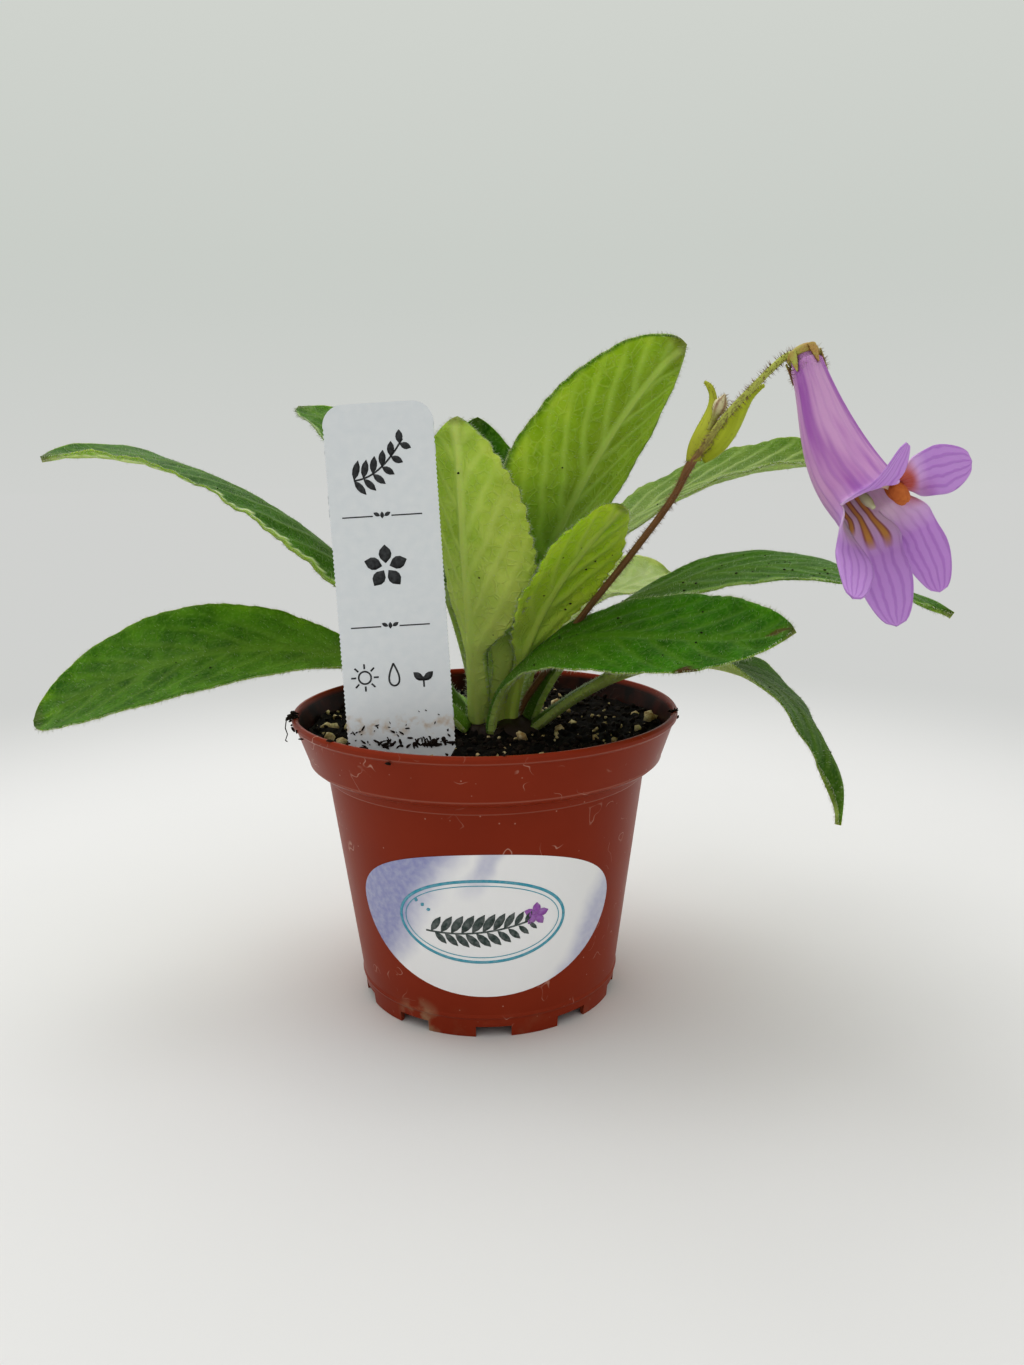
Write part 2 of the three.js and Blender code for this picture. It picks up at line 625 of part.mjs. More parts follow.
// Calyx: a small cup that holds the tube's foot, with five narrow sepals lying along the tube
const cupOuter = [-0.07, -0.035, 0.02, 0.08].map((s, i) => tubeRing(s, [-1.7, 0.6, 1.2, 1.1][i], 10));
const cupInner = [-0.02, 0.05, 0.2].map((s, i) => tubeRing(s, GAP + [-0.1, 0.05, 0.1][i], 10));
let calyx = loft(cupOuter).subtract(loft(cupInner));
const sepalHalf = radians(15);
for (let k = 0; k < 5; k++) {
  const turn = (2 * Math.PI * k) / 5 + 0.3;
  const faces = [GAP + 0.95, GAP + 0.3].map((shift) =>
    stationsAlong(0.03, 0.22, 4).map((s, i) => {
      const narrow = 1 - 0.8 * (i / 4) ** 1.5;
      return [-1, 0, 1].map((v) => tubePoint(s, tubeRadius(s) + shift, turn + v * sepalHalf * narrow));
    }),
  );
  calyx = calyx.add(sheet(faces[0], faces[1]));
}
calyx = calyx.subtract(stalkRoom);
add("calyx", calyx, COLOUR.calyx, 0.7);

// Pistil: a slim style from the cup's floor down the tube's middle to a small stigma
const pistilPairs = [
  [-0.011, 1.1], [0.2, 1.1], [0.35, 0.6], [0.6, 0.5], [0.88, 0.5], [0.94, 0.9], [0.98, 0.5],
];
const pistil = loft(pistilPairs.map(([s, radius]) => ringAround(s, radius, 8)));
add("pistil", pistil, COLOUR.pistil, 0.6);

// Stamens: two filaments that rise from the tube's lower wall and meet at their anthers
const innerPoint = (s, angle, inset) =>
  tubePoint(s, tubeRadius(s) - FLOWER.wall - inset, radians(angle));
let stamens = null;
for (const side of [-1, 1]) {
  const curve = new THREE.CatmullRomCurve3([
    innerPoint(0.5, 90 * side, 0.95), innerPoint(0.68, 78 * side, 1.3), innerPoint(0.86, 55 * side, 1.5),
    innerPoint(0.98, 22 * side, 2), innerPoint(1.0, 4 * side, 2.2),
  ]);
  const section = new THREE.Shape();
  section.absarc(0, 0, 0.55, 0, Math.PI * 2, false);
  const filament = new THREE.ExtrudeGeometry(section, {
    steps: 9, bevelEnabled: false, extrudePath: curve, curveSegments: 3,
  });
  const anther = new THREE.IcosahedronGeometry(1, 0).scale(1.6, 1.1, 1);
  const basis = new THREE.Matrix4().makeBasis(sideways, down, topSide.clone());
  if (basis.determinant() < 0) basis.makeBasis(down, sideways, topSide.clone());
  anther.applyMatrix4(basis.setPosition(innerPoint(1.0, 10 * side, 2.2)));
  const one = solid(filament).add(solid(anther));
  stamens = stamens ? stamens.add(one) : one;
}
add("stamens", stamens, COLOUR.stamen, 0.6);

export default group;
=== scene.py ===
import json
import math
import random

import bmesh
import bpy
from mathutils import Matrix, Vector, noise


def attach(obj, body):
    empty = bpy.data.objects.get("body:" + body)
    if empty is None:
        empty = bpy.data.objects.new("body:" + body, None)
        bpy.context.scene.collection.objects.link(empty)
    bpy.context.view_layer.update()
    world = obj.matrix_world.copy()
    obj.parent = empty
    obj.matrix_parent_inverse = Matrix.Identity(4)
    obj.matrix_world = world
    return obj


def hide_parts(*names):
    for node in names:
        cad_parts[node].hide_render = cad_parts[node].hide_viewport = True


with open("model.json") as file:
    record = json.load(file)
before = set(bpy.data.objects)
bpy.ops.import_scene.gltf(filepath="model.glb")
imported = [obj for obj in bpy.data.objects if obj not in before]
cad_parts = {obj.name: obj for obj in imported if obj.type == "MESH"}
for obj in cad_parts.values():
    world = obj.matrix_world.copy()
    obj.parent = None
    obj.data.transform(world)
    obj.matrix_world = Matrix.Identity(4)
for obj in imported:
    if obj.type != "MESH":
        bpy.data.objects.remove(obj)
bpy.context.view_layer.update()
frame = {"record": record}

# Nursery pot: one shell of terracotta-coloured polypropylene, injection moulded, 102 mm across
# its rim and 78 mm high. Under the beaded rim is a collar, and a thin ring runs round the pot
# just above its foot, which has ten notches that let water out.
MM = 0.001
POT_WALL, POT_STEPS = 1.2, 180
FOOT_RADIUS, FOOT_TOP = 35.0, 5.6
COLLAR_RADIUS, COLLAR_FOOT = 42.4, 62
NOTCHES, FIRST_NOTCH_DEGREES = 10, -87.5
# Two blocks cut each notch. A block is given by its three sides and its middle, in mm.
NOTCH_BLOCKS = (((8, 9, 4), (35, 0, 0.9)), ((5, 5, 6), (30, 0, 3.9)))


def body_radius(height):
    """Outer radius of the pot's tapered body, in mm, at a height in mm."""
    rise = COLLAR_FOOT - FOOT_TOP
    return FOOT_RADIUS + (height - FOOT_TOP) * (COLLAR_RADIUS - FOOT_RADIUS) / rise


def linear(code):
    """An sRGB hex value as the linear colour that a shader takes."""
    parts = [int(code[i:i + 2], 16) / 255 for i in (0, 2, 4)]
    return [p / 12.92 if p <= 0.04045 else ((p + 0.055) / 1.055) ** 2.4 for p in parts] + [1.0]


def add_node(tree, kind, inputs=None, **settings):
    """Adds a shader node, sets its properties, and fills or links its inputs.

    An input is a number, a colour's hex value, a socket, or a node, whose first output in use
    is linked. MapRange takes its value at 0, from 1 to 2, and gives 3 to 4, and a colour Mix
    takes its share at 0 and its two colours at 6 and 7.
    """
    made = tree.nodes.new("ShaderNode" + kind)
    for name, value in settings.items():
        setattr(made, name, value)
    for key, value in (inputs or {}).items():
        if isinstance(value, bpy.types.Node):
            value = next(socket for socket in value.outputs if socket.enabled)
        if isinstance(value, bpy.types.NodeSocket):
            tree.links.new(value, made.inputs[key])
        else:
            made.inputs[key].default_value = linear(value) if isinstance(value, str) else value
    return made


def new_finish(name):
    """A material with no nodes yet, and its shader tree."""
    material = bpy.data.materials.new(name)
    material.use_nodes = True
    material.node_tree.nodes.clear()
    return material, material.node_tree


def close_finish(tree, inputs):
    """Ends a material's tree in one Principled shader with its inputs."""
    shader = add_node(tree, "BsdfPrincipled", inputs)
    add_node(tree, "OutputMaterial", {"Surface": shader})


def near(tree, value, middle, outer, inner, most=1.0, **settings):
    """How near a value lies to a middle: 0 at outer off it or more, most at inner or less."""
    off = add_node(tree, "Math", {0: value, 1: middle}, operation="SUBTRACT")
    far = add_node(tree, "Math", {0: off}, operation="ABSOLUTE")
    return add_node(tree, "MapRange", {0: far, 1: outer, 2: inner, 4: most}, **settings)


def new_object(bm, name):
    """An object of the scene made from a bmesh, which it uses up."""
    mesh = bpy.data.meshes.new(name)
    bm.to_mesh(mesh)
    bm.free()
    made = bpy.data.objects.new(name, mesh)
    bpy.context.scene.collection.objects.link(made)
    return made


def finish_piece(bm, name, materials, slot, *nodes):
    """Makes a piece from its bmesh, in place, riding on the plant's one body."""
    piece = new_object(bm, name)
    for material in materials:
        piece.data.materials.append(material)
    piece.data.shade_smooth()
    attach(piece, "root")
    if nodes:
        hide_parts(*nodes)
    return piece


def spun(outline, steps):
    """A bmesh spun round the pot's axis from an outline of radius and height pairs in mm."""
    bm = bmesh.new()
    points = [bm.verts.new((radius * MM, 0, height * MM)) for radius, height in outline]
    edges = [bm.edges.new(pair) for pair in zip(points, points[1:])]
    bmesh.ops.spin(
        bm, geom=points + edges, cent=(0, 0, 0), axis=(0, 0, 1),
        angle=2 * math.pi, steps=steps, use_merge=True,
    )
    bmesh.ops.remove_doubles(bm, verts=bm.verts[:], dist=0.001 * MM)
    return bm


pot_outside = [
    (0, 0), (24, 0), (24.6, 2.6), (32.9, 2.6), (33.3, 0), (34.4, 0), (34.9, 4.9), (35.35, 5.6),
    (body_radius(6.4), 6.4), (42.3, 61.4), (42.7, 61.8), (43.3, 63.6), (45.9, 64.7), (46.9, 65.6),
    (47.0, 66.3), (50.2, 75.6), (51, 76.3), (51.05, 77.3), (50.6, 78), (49.9, 78), (49.5, 77.4),
]
pot_inside = [
    (49, 76), (45.6, 66), (44.6, 65), (body_radius(63) - POT_WALL, 63),
    (body_radius(8) - POT_WALL, 8), (33.6, 3.8), (23.4, 3.8), (22.6, 1.2), (0, 1.2),
]
bm = spun(pot_outside + pot_inside, POT_STEPS)
bmesh.ops.recalc_face_normals(bm, faces=bm.faces[:])
sharp = [edge for edge in bm.edges if edge.is_manifold and abs(edge.calc_face_angle(0)) > 0.35]
bmesh.ops.bevel(
    bm, geom=sharp, offset=0.12 * MM, segments=2, profile=0.5, affect="EDGES", material=-1,
    clamp_overlap=True,
)
pot_shell = new_object(bm, "pot_shell")
bm = bmesh.new()
for i in range(NOTCHES):
    turn = Matrix.Rotation(math.radians(FIRST_NOTCH_DEGREES + i * 360 / NOTCHES), 4, "Z")
    for size, centre in NOTCH_BLOCKS:
        scale = Matrix.Diagonal([side * MM for side in size] + [1])
        block = turn @ Matrix.Translation(Vector(centre) * MM) @ scale
        bmesh.ops.create_cube(bm, size=1, matrix=block)
cutter = new_object(bm, "notch_cutter")
cut = pot_shell.modifiers.new("notches", "BOOLEAN")
cut.operation = "DIFFERENCE"
cut.solver = "EXACT"
cut.use_self = True
cut.object = cutter
bpy.context.view_layer.update()
evaluated = pot_shell.evaluated_get(bpy.context.evaluated_depsgraph_get())
bm = bmesh.new()
bm.from_mesh(evaluated.to_mesh())
bpy.data.objects.remove(pot_shell)
bpy.data.objects.remove(cutter)

# Polypropylene, moulded: satin, with hair-thin curling scratches, specks, and three thin pale lines
# painted as highlights at the collar's lower edge, where its ledge meets the body, and under the rim's
# bead. The inside wall is darkened nearly black in patches from the soil up to the bead, and there is a
# tan splash of dried mud on the foot. The scratches are drawn 0.3 mm wide.
terracotta, tree = new_finish("moulded polypropylene")
place = add_node(tree, "TexCoord").outputs["Object"]
height = add_node(tree, "SeparateXYZ", {0: place}).outputs[2]
cloud = add_node(tree, "TexNoise", {"Vector": place, "Scale": 45.0, "Detail": 4.0})
curl = add_node(tree, "TexNoise", {"Vector": place, "Scale": 190.0, "Detail": 1.0})
scratch = near(tree, curl, 0.5, 0.013, 0.004)
where = add_node(tree, "TexNoise", {"Vector": place, "Scale": 115.0})
scratched = add_node(tree, "MapRange", {0: where, 1: 0.58, 2: 0.68, 4: 0.42})
scratches = add_node(tree, "Math", {0: scratch, 1: scratched}, operation="MULTIPLY")
dust = add_node(tree, "TexVoronoi", {"Vector": place, "Scale": 300.0})
specks = add_node(tree, "MapRange", {0: dust, 1: 0.08, 2: 0.03, 4: 0.4})
wear_and_painted_highlights = add_node(tree, "Math", {0: scratches, 1: specks}, operation="MAXIMUM")
# Painted highlights: three thin pale lines, at the collar's lower edge, where its ledge meets the body
# and under the rim's bead, stand in for light catching those edges.
for level in (0.0659, 0.0616, 0.0762):
    painted_highlight_line = near(tree, height, level, 0.0003, 0.0, 0.16)
    wear_and_painted_highlights = add_node(tree, "Math", {0: wear_and_painted_highlights, 1: painted_highlight_line}, operation="MAXIMUM")
low = add_node(tree, "MapRange", {0: height, 1: 0.009, 2: 0.0})
grime = add_node(tree, "TexNoise", {"Vector": place, "Scale": 150.0, "Detail": 5.0})
grime_share = add_node(tree, "MapRange", {0: grime, 1: 0.5, 2: 0.66, 4: 0.14})
grimy = add_node(tree, "Math", {0: low, 1: grime_share}, operation="MULTIPLY")
from_splash = add_node(tree, "VectorMath", {0: place, 1: (-0.0175, -0.0305, 0.002)},
                       operation="DISTANCE")
splash_near = add_node(tree, "MapRange", {0: from_splash, 1: 0.008, 2: 0.003})
splash_edge = add_node(tree, "MapRange", {0: grime, 1: 0.42, 2: 0.55, 4: 0.85})
splash = add_node(tree, "Math", {0: splash_near, 1: splash_edge}, operation="MULTIPLY")
mud = add_node(tree, "Math", {0: grimy, 1: splash}, operation="MAXIMUM")
level_place = add_node(tree, "VectorMath", {0: place, 1: (1.0, 1.0, 0.0)}, operation="MULTIPLY")
from_axis = add_node(tree, "VectorMath", {0: level_place}, operation="LENGTH")
off_wall = add_node(tree, "Math", {0: height, 1: -0.342, 2: from_axis}, operation="MULTIPLY_ADD")
inside = add_node(tree, "MapRange", {0: off_wall, 1: 0.0236, 2: 0.0232})
above_soil = add_node(tree, "MapRange", {0: height, 1: 0.067, 2: 0.068})
under_bead = add_node(tree, "MapRange", {0: height, 1: 0.0774, 2: 0.0764})
# The inside wall between the soil and the bead is darkened nearly black in patches.
darkened_inner_wall = add_node(tree, "MapRange", {0: grime, 1: 0.3, 2: 0.6, 3: 0.75})
for part in (inside, above_soil, under_bead):
    darkened_inner_wall = add_node(tree, "Math", {0: darkened_inner_wall, 1: part}, operation="MULTIPLY")
colour = add_node(tree, "Mix", {0: cloud, 6: "822e17", 7: "92391f"}, data_type="RGBA")
for share, code in ((wear_and_painted_highlights, "e0bfae"), (mud, "a08468"), (darkened_inner_wall, "1c120d")):
    colour = add_node(tree, "Mix", {0: share, 6: colour, 7: code}, data_type="RGBA")
satin = add_node(tree, "MapRange", {0: cloud, 1: 0.3, 2: 0.7, 3: 0.3, 4: 0.4})
grain = add_node(tree, "TexNoise", {"Vector": place, "Scale": 1500.0})
relief = add_node(tree, "Bump", {"Strength": 0.1, "Distance": 0.0001, "Height": grain})
close_finish(tree, {"Base Color": colour, "Roughness": satin, "Normal": relief, "IOR": 1.45,
                    "Specular IOR Level": 0.14})
pot = finish_piece(bm, "nursery_pot", [terracotta], "pot_plastic", "pot")
pot.data.set_sharp_from_angle(angle=math.radians(32))
even = pot.modifiers.new("even shading", "WEIGHTED_NORMAL")
even.keep_sharp = True

# Front label: a half-oval of white holographic film, wider than high and flatter at its top,
# stuck round the pot's front. Its print is a teal double ring round a sprig of dark leaves.
STICKER_MIDDLE, STICKER_ABOVE, STICKER_BELOW = 34.0, 17.2, 22.2
STICKER_HALF_TURN = 52.0
STICKER_GAP, STICKER_LIFT = 0.02, 0.12
CHART_UNIT = 100


def on_pot(across, height, lift):
    """The point on the pot's front that lies across mm from its middle line, at a height in mm."""
    radius = body_radius(height)
    turn = across / radius - math.pi / 2
    radius += lift
    return Vector((radius * math.cos(turn), radius * math.sin(turn), height)) * MM


def lay_chart(bm, faces, places):
    """Writes each point's place on its piece's flat chart, which the materials read."""
    chart = bm.loops.layers.uv.verify()
    for face in faces:
        for loop in face.loops:
            loop[chart].uv = places[loop.vert]


def second_skin(bm, faces):
    """Adds a second skin on a sheet's faces, joined at their edge, and gives its points."""
    made = bmesh.ops.extrude_face_region(bm, geom=faces, use_keep_orig=True)["geom"]
    return {item for item in made if isinstance(item, bmesh.types.BMVert)}


bm = bmesh.new()
places = {}
for vert in bmesh.ops.create_grid(bm, x_segments=56, y_segments=44, size=1)["verts"]:
    q = math.sin(vert.co.y * math.pi * 0.4999)
    height = STICKER_MIDDLE + q * (STICKER_ABOVE if q > 0 else STICKER_BELOW)
    half = STICKER_HALF_TURN * math.sqrt(max(0.0, 1 - q * q))
    across = math.radians(half) * vert.co.x * body_radius(height)
    places[vert] = (across / CHART_UNIT, height / CHART_UNIT)
    vert.co = on_pot(across, height, STICKER_GAP)
lay_chart(bm, bm.faces, places)
for vert in second_skin(bm, bm.faces[:]):
    outward = Vector((vert.co.x, vert.co.y, 0)).normalized()
    vert.co += outward * (STICKER_LIFT - STICKER_GAP) * MM
bmesh.ops.remove_doubles(bm, verts=bm.verts[:], dist=0.0005 * MM)
bmesh.ops.recalc_face_normals(bm, faces=bm.faces[:])

# Holographic polyester film, printed: glossy white, with its lilac holographic sheen painted into the
# colour as soft slanting bands, and a faint crumple.
film, tree = new_finish("holographic polyester film")
chart = add_node(tree, "UVMap")
across, up, _ = add_node(tree, "SeparateXYZ", {0: chart}).outputs
wander = add_node(tree, "TexNoise", {"Vector": chart, "Scale": 6.0, "Detail": 3.0})
slanted = add_node(tree, "Math", {0: up, 1: -0.55, 2: across}, operation="MULTIPLY_ADD")
bands = add_node(tree, "Math", {0: wander, 1: 0.12, 2: slanted}, operation="MULTIPLY_ADD")
left_band = add_node(tree, "MapRange", {0: bands, 1: -0.245, 2: -0.36},
                     interpolation_type="SMOOTHSTEP")
right_band = add_node(tree, "MapRange", {0: bands, 1: 0.12, 2: 0.2, 4: 0.6},
                      interpolation_type="SMOOTHSTEP")
fold = near(tree, bands, -0.2, 0.05, 0.01, 0.5, interpolation_type="SMOOTHSTEP")
fold_part = add_node(tree, "MapRange", {0: up, 1: 0.38, 2: 0.47})
upper_band = add_node(tree, "Math", {0: fold, 1: fold_part}, operation="MULTIPLY")
sides = add_node(tree, "Math", {0: left_band, 1: right_band}, operation="MAXIMUM")
sheen_bands = add_node(tree, "Math", {0: sides, 1: upper_band}, operation="MAXIMUM")
speckle = add_node(tree, "TexNoise", {"Vector": chart, "Scale": 60.0, "Detail": 4.0})
speckled = add_node(tree, "MapRange", {0: speckle, 1: 0.35, 2: 0.65, 3: 0.8})
# Painted sheen: the lilac that the film throws off at an angle is laid into its colour in fixed bands,
# wide ones at the left and right and a narrow one higher up.
lilac_sheen_share = add_node(tree, "Math", {0: sheen_bands, 1: speckled}, operation="MULTIPLY")
lilac = add_node(tree, "Mix", {0: speckle, 6: "8288b8", 7: "9a9cc8"}, data_type="RGBA")
colour = add_node(tree, "Mix", {0: lilac_sheen_share, 6: "f4f4f4", 7: lilac}, data_type="RGBA")
crumple = add_node(tree, "TexNoise", {"Vector": chart, "Scale": 30.0, "Detail": 3.0})
relief = add_node(tree, "Bump", {"Strength": 0.2, "Distance": 0.0003, "Height": crumple})
close_finish(tree, {"Base Color": colour, "Roughness": 0.24, "Normal": relief,
                    "Coat Weight": 0.3, "Coat Roughness": 0.08})
sticker = finish_piece(bm, "front_label_film", [film], "sticker_film", "pot_sticker")
sticker.data.set_sharp_from_angle(angle=math.radians(40))

PRINT_THICK = 0.03
RING_MIDDLE = (-1, 33)
TEAL, GREEN, LILAC = 0, 1, 2


def faces_of(verts):
    """All faces that any of the points belongs to."""
    return {face for vert in verts for face in vert.link_faces}


def print_leaf(bm, x, y, length, width, turn_degrees, ink=0):
    """Adds one flat leaf of print, drawn in mm from its stem end, with its ink's material index."""
    turn = Matrix.Rotation(math.radians(turn_degrees), 4, "Z")
    made = bmesh.ops.create_circle(bm, cap_ends=True, cap_tris=True, segments=14, radius=0.5)["verts"]
    for vert in made:
        pinch = max(0.15, 1 - abs(vert.co.x * 2) ** 3)
        vert.co = Vector(((vert.co.x + 0.5) * length, vert.co.y * width * pinch, 0))
        vert.co = turn @ vert.co + Vector((x, y, 0))
    for face in faces_of(made):
        face.material_index = ink


def print_line(bm, points, width, ink=0):
    """Adds a flat line of print of one width, in mm, through points in its plane."""
    steps = len(points) - 1
    made = bmesh.ops.create_grid(bm, x_segments=steps, y_segments=1, size=1)["verts"]
    for vert in made:
        i = round((vert.co.x + 1) / 2 * steps)
        before, after = Vector(points[max(0, i - 1)]), Vector(points[min(steps, i + 1)])
        way = (after - before).normalized()
        side = Vector((-way.y, way.x)) * width / 2 * vert.co.y
        vert.co = (points[i][0] + side.x, points[i][1] + side.y, 0)
    for face in faces_of(made):
        face.material_index = ink


def oval(x, y, half_width, half_height, steps):
    """Points all round an oval in the plane of a print, in mm."""
    turns = (math.radians(360 / steps * k) for k in range(steps + 1))
    return [(half_width * math.cos(turn) + x, half_height * math.sin(turn) + y) for turn in turns]


def wrap_print(bm, wrap):
    """Gives flat print its thickness, and lays it on its surface by wrap(x, y, lift)."""
    top = second_skin(bm, bm.faces[:])
    for vert in bm.verts:
        vert.co = wrap(vert.co.x, vert.co.y, PRINT_THICK if vert in top else 0.0)
    bmesh.ops.recalc_face_normals(bm, faces=bm.faces[:])


def two_tone(name, scale, detail, tones, roughness, gloss=0.5, share=(0, 1, 1), relief=None,
             ragged=0.5):
    """A finish that wanders between two tones by one noise pattern.

    share says from which noise value to which, and how far, the second tone comes in. relief
    is how strongly and how deep in m the same pattern stands out, and ragged its fine share.
    """
    material, tree = new_finish(name)
    place = add_node(tree, "TexCoord").outputs["Object"]
    pattern = add_node(tree, "TexNoise", {"Vector": place, "Scale": scale, "Detail": detail,
                                          "Roughness": ragged})
    part = add_node(tree, "MapRange", {0: pattern, 1: share[0], 2: share[1], 4: share[2]})
    colour = add_node(tree, "Mix", {0: part, 6: tones[0], 7: tones[1]}, data_type="RGBA")
    inputs = {"Base Color": colour, "Roughness": roughness, "Specular IOR Level": gloss}
    if relief:
        inputs["Normal"] = add_node(tree, "Bump", {"Strength": relief[0], "Distance": relief[1],
                                                   "Height": pattern})
    close_finish(tree, inputs)
    return material


# Printing inks, flat and matt on the film: teal, a green so dark that it is nearly black, and
# the lilac of the plant's own flower. Each is a little thin where it was pressed on unevenly.
inks = [two_tone(ink_name, 900.0, 2.0, (code, "e4e4e4"), 0.3, share=(0.3, 0.7, 0.18))
        for ink_name, code in (("teal ink", "2f9db4"), ("dark green ink", "14322c"),
                               ("lilac ink", "9a4fb0"))]
bm = bmesh.new()
print_line(bm, oval(*RING_MIDDLE, 21.0, 11.2, 90), 0.75, TEAL)
print_line(bm, oval(*RING_MIDDLE, 19.6, 9.9, 90), 0.22, TEAL)
stem = [(-15 + 1.3 * k, 29.6 + 0.012 * (k - 4) ** 2) for k in range(21)]
print_line(bm, stem, 0.45, GREEN)
for k in range(1, 20, 2):
    x, y = stem[k]
    size = 6.2 - 0.022 * (k - 8) ** 2
    print_leaf(bm, x, y, size, size * 0.36, 58, GREEN)
    print_leaf(bm, x + 1.0, y, size * 0.85, size * 0.32, -46, GREEN)
for k in range(5):
    print_leaf(bm, 12.6, 34.2, 3.3, 2.1, 72 * k + 14, LILAC)
for k in range(3):
    print_leaf(bm, -17.5 + 1.4 * k, 37.2 - 0.9 * k, 1.2, 0.9, 80 - 30 * k, TEAL)
wrap_print(bm, lambda x, y, lift: on_pot(x, y, STICKER_LIFT + PRINT_THICK + lift))
finish_piece(bm, "front_label_print", inks, "sticker_film")

# Potting mix: damp black peat and bark, filled to 5 mm under the rim. It fills the pot down to
# its floor, which the ten drain slots show from below.
SOIL_LEVEL, SOIL_RADIUS, SOIL_INSET = 72.8, 47.3, 1.5
SOIL_RINGS, SOIL_STEPS = 90, 150
soil_side = [
    (0, 1.5), (22.2, 1.5), (22.9, 4.1), (33.2, 4.1), (body_radius(8) - SOIL_INSET, 8),
    (body_radius(63) - SOIL_INSET, 63), (44.1, 65.2), (45.2, 66), (SOIL_RADIUS, 72),
]
soil_top = [(SOIL_RADIUS * (1 - k / SOIL_RINGS), SOIL_LEVEL) for k in range(1, SOIL_RINGS + 1)]
bm = spun(soil_side + soil_top, SOIL_STEPS)
bmesh.ops.recalc_face_normals(bm, faces=bm.faces[:])


def soil_height(x, y):
    """Height of the soil's uneven top, in mm, at a place in mm."""
    swell = noise.fractal(Vector((x / 14, y / 14, 3.1)), 1.0, 2.0, 3)
    clods = noise.turbulence(Vector((x / 3.2, y / 3.2, 8.4)), 3, False)
    bank = max(0.0, (math.hypot(x, y) - 40) / 7.3)
    return SOIL_LEVEL + 0.6 * bank ** 2 + 0.9 * swell + 1.5 * (clods - 0.55)


for vert in bm.verts:
    if vert.co.z / MM > SOIL_LEVEL - 0.4:
        vert.co.z = soil_height(vert.co.x / MM, vert.co.y / MM) * MM

# Peat and composted bark, loose: nearly black, wet in places, brown where it has dried.
peat = two_tone("peat and bark", 420.0, 6.0, ("050302", "22170e"), 0.9, 0.2,
                (0.45, 0.75, 1), (0.9, 0.0008), ragged=0.7)
finish_piece(bm, "potting_mix_bed", [peat], "potting_mix", "soil")

# Perlite and bark grains, pressed into the top by watering: expanded volcanic glass stained
# tan, 1 to 5 mm, and chips of bark and black peat. Ten large grains are placed.
GRAINS = 1500
PERLITE, BARK = 0, 1
perlite = two_tone("expanded perlite", 500.0, 4.0, ("927446", "dccda4"), 0.85,
                   share=(0.35, 0.65, 1), relief=(0.6, 0.0003))
bark = two_tone("composted bark", 650.0, 5.0, ("080503", "2e1e13"), 0.8, 0.25,
                relief=(0.7, 0.0004))


def new_shape(bm, name):
    """A small mesh made from a bmesh, to be copied into pieces."""
    shape = bpy.data.meshes.new(name)
    bm.to_mesh(shape)
    bm.free()
    return shape


def add_copy(bm, shape, matrix, index=0):
    """Adds a copy of a small shape to a piece, placed by matrix, with a material index."""
    copy = shape.copy()
    copy.transform(matrix)
    for face in copy.polygons:
        face.material_index = index
    bm.from_mesh(copy)
    bpy.data.meshes.remove(copy)


grain_shapes = []
for k in range(4):
    bm = bmesh.new()
    bmesh.ops.create_icosphere(bm, subdivisions=1, radius=1)
    for vert in bm.verts:
        vert.co *= 1 + 0.35 * noise.noise(vert.co * 1.7 + Vector((9 * k, 2, 5)))
    grain_shapes.append(new_shape(bm, "grain"))


def add_grain(bm, centre, size, index=0):
    """Adds a grain of three half sizes, in mm, tumbled at random about its centre."""
    shape = rng.choice(grain_shapes)
    turn, axis = rng.uniform(0, 6.28), Vector((rng.random(), rng.random(), rng.random() + 0.1))
    scale = Matrix.Diagonal([s * MM for s in size] + [1])
    tumble = Matrix.Rotation(turn, 4, axis)
    add_copy(bm, shape, Matrix.Translation(Vector(centre) * MM) @ tumble @ scale, index)


rng = random.Random(41)
bm = bmesh.new()
for k in range(GRAINS):
    reach, turn = 46.5 * math.sqrt(rng.random()), rng.uniform(0, 2 * math.pi)
    x, y = reach * math.cos(turn), reach * math.sin(turn)
    if math.hypot(x - 4.5, y) < 9 and rng.random() < 0.7:
        continue
    pale = rng.random() < 0.15
    size = rng.uniform(0.25, 0.85) if pale else rng.uniform(0.3, 1.1)
    if pale and rng.random() < 0.08:
        size = rng.uniform(1.2, 1.9)
    flatness = rng.uniform(0.6, 1.0) if pale else rng.uniform(0.25, 0.7)
    centre = (x, y, soil_height(x, y) + size * rng.uniform(-0.1, 0.45))
    add_grain(bm, centre, (size * 1.1, size, size * flatness), PERLITE if pale else BARK)
for x, y, size in ((6.9, -46.0, 1.9), (-1.3, -44.6, 1.2), (3.2, -44.9, 1.0), (12.5, -40, 1.0),
                   (-40, -13, 1.7), (-36, -19, 1.4), (24, -33, 1.2), (-31, -31, 1.2),
                   (14, -30, 1.1), (33, -17, 0.9)):
    centre = (x, y, soil_height(x, y) + 0.6 * size)
    add_grain(bm, centre, (size * 1.15, size, size * 0.85), PERLITE)
finish_piece(bm, "perlite_and_bark", [perlite, bark], "potting_mix")

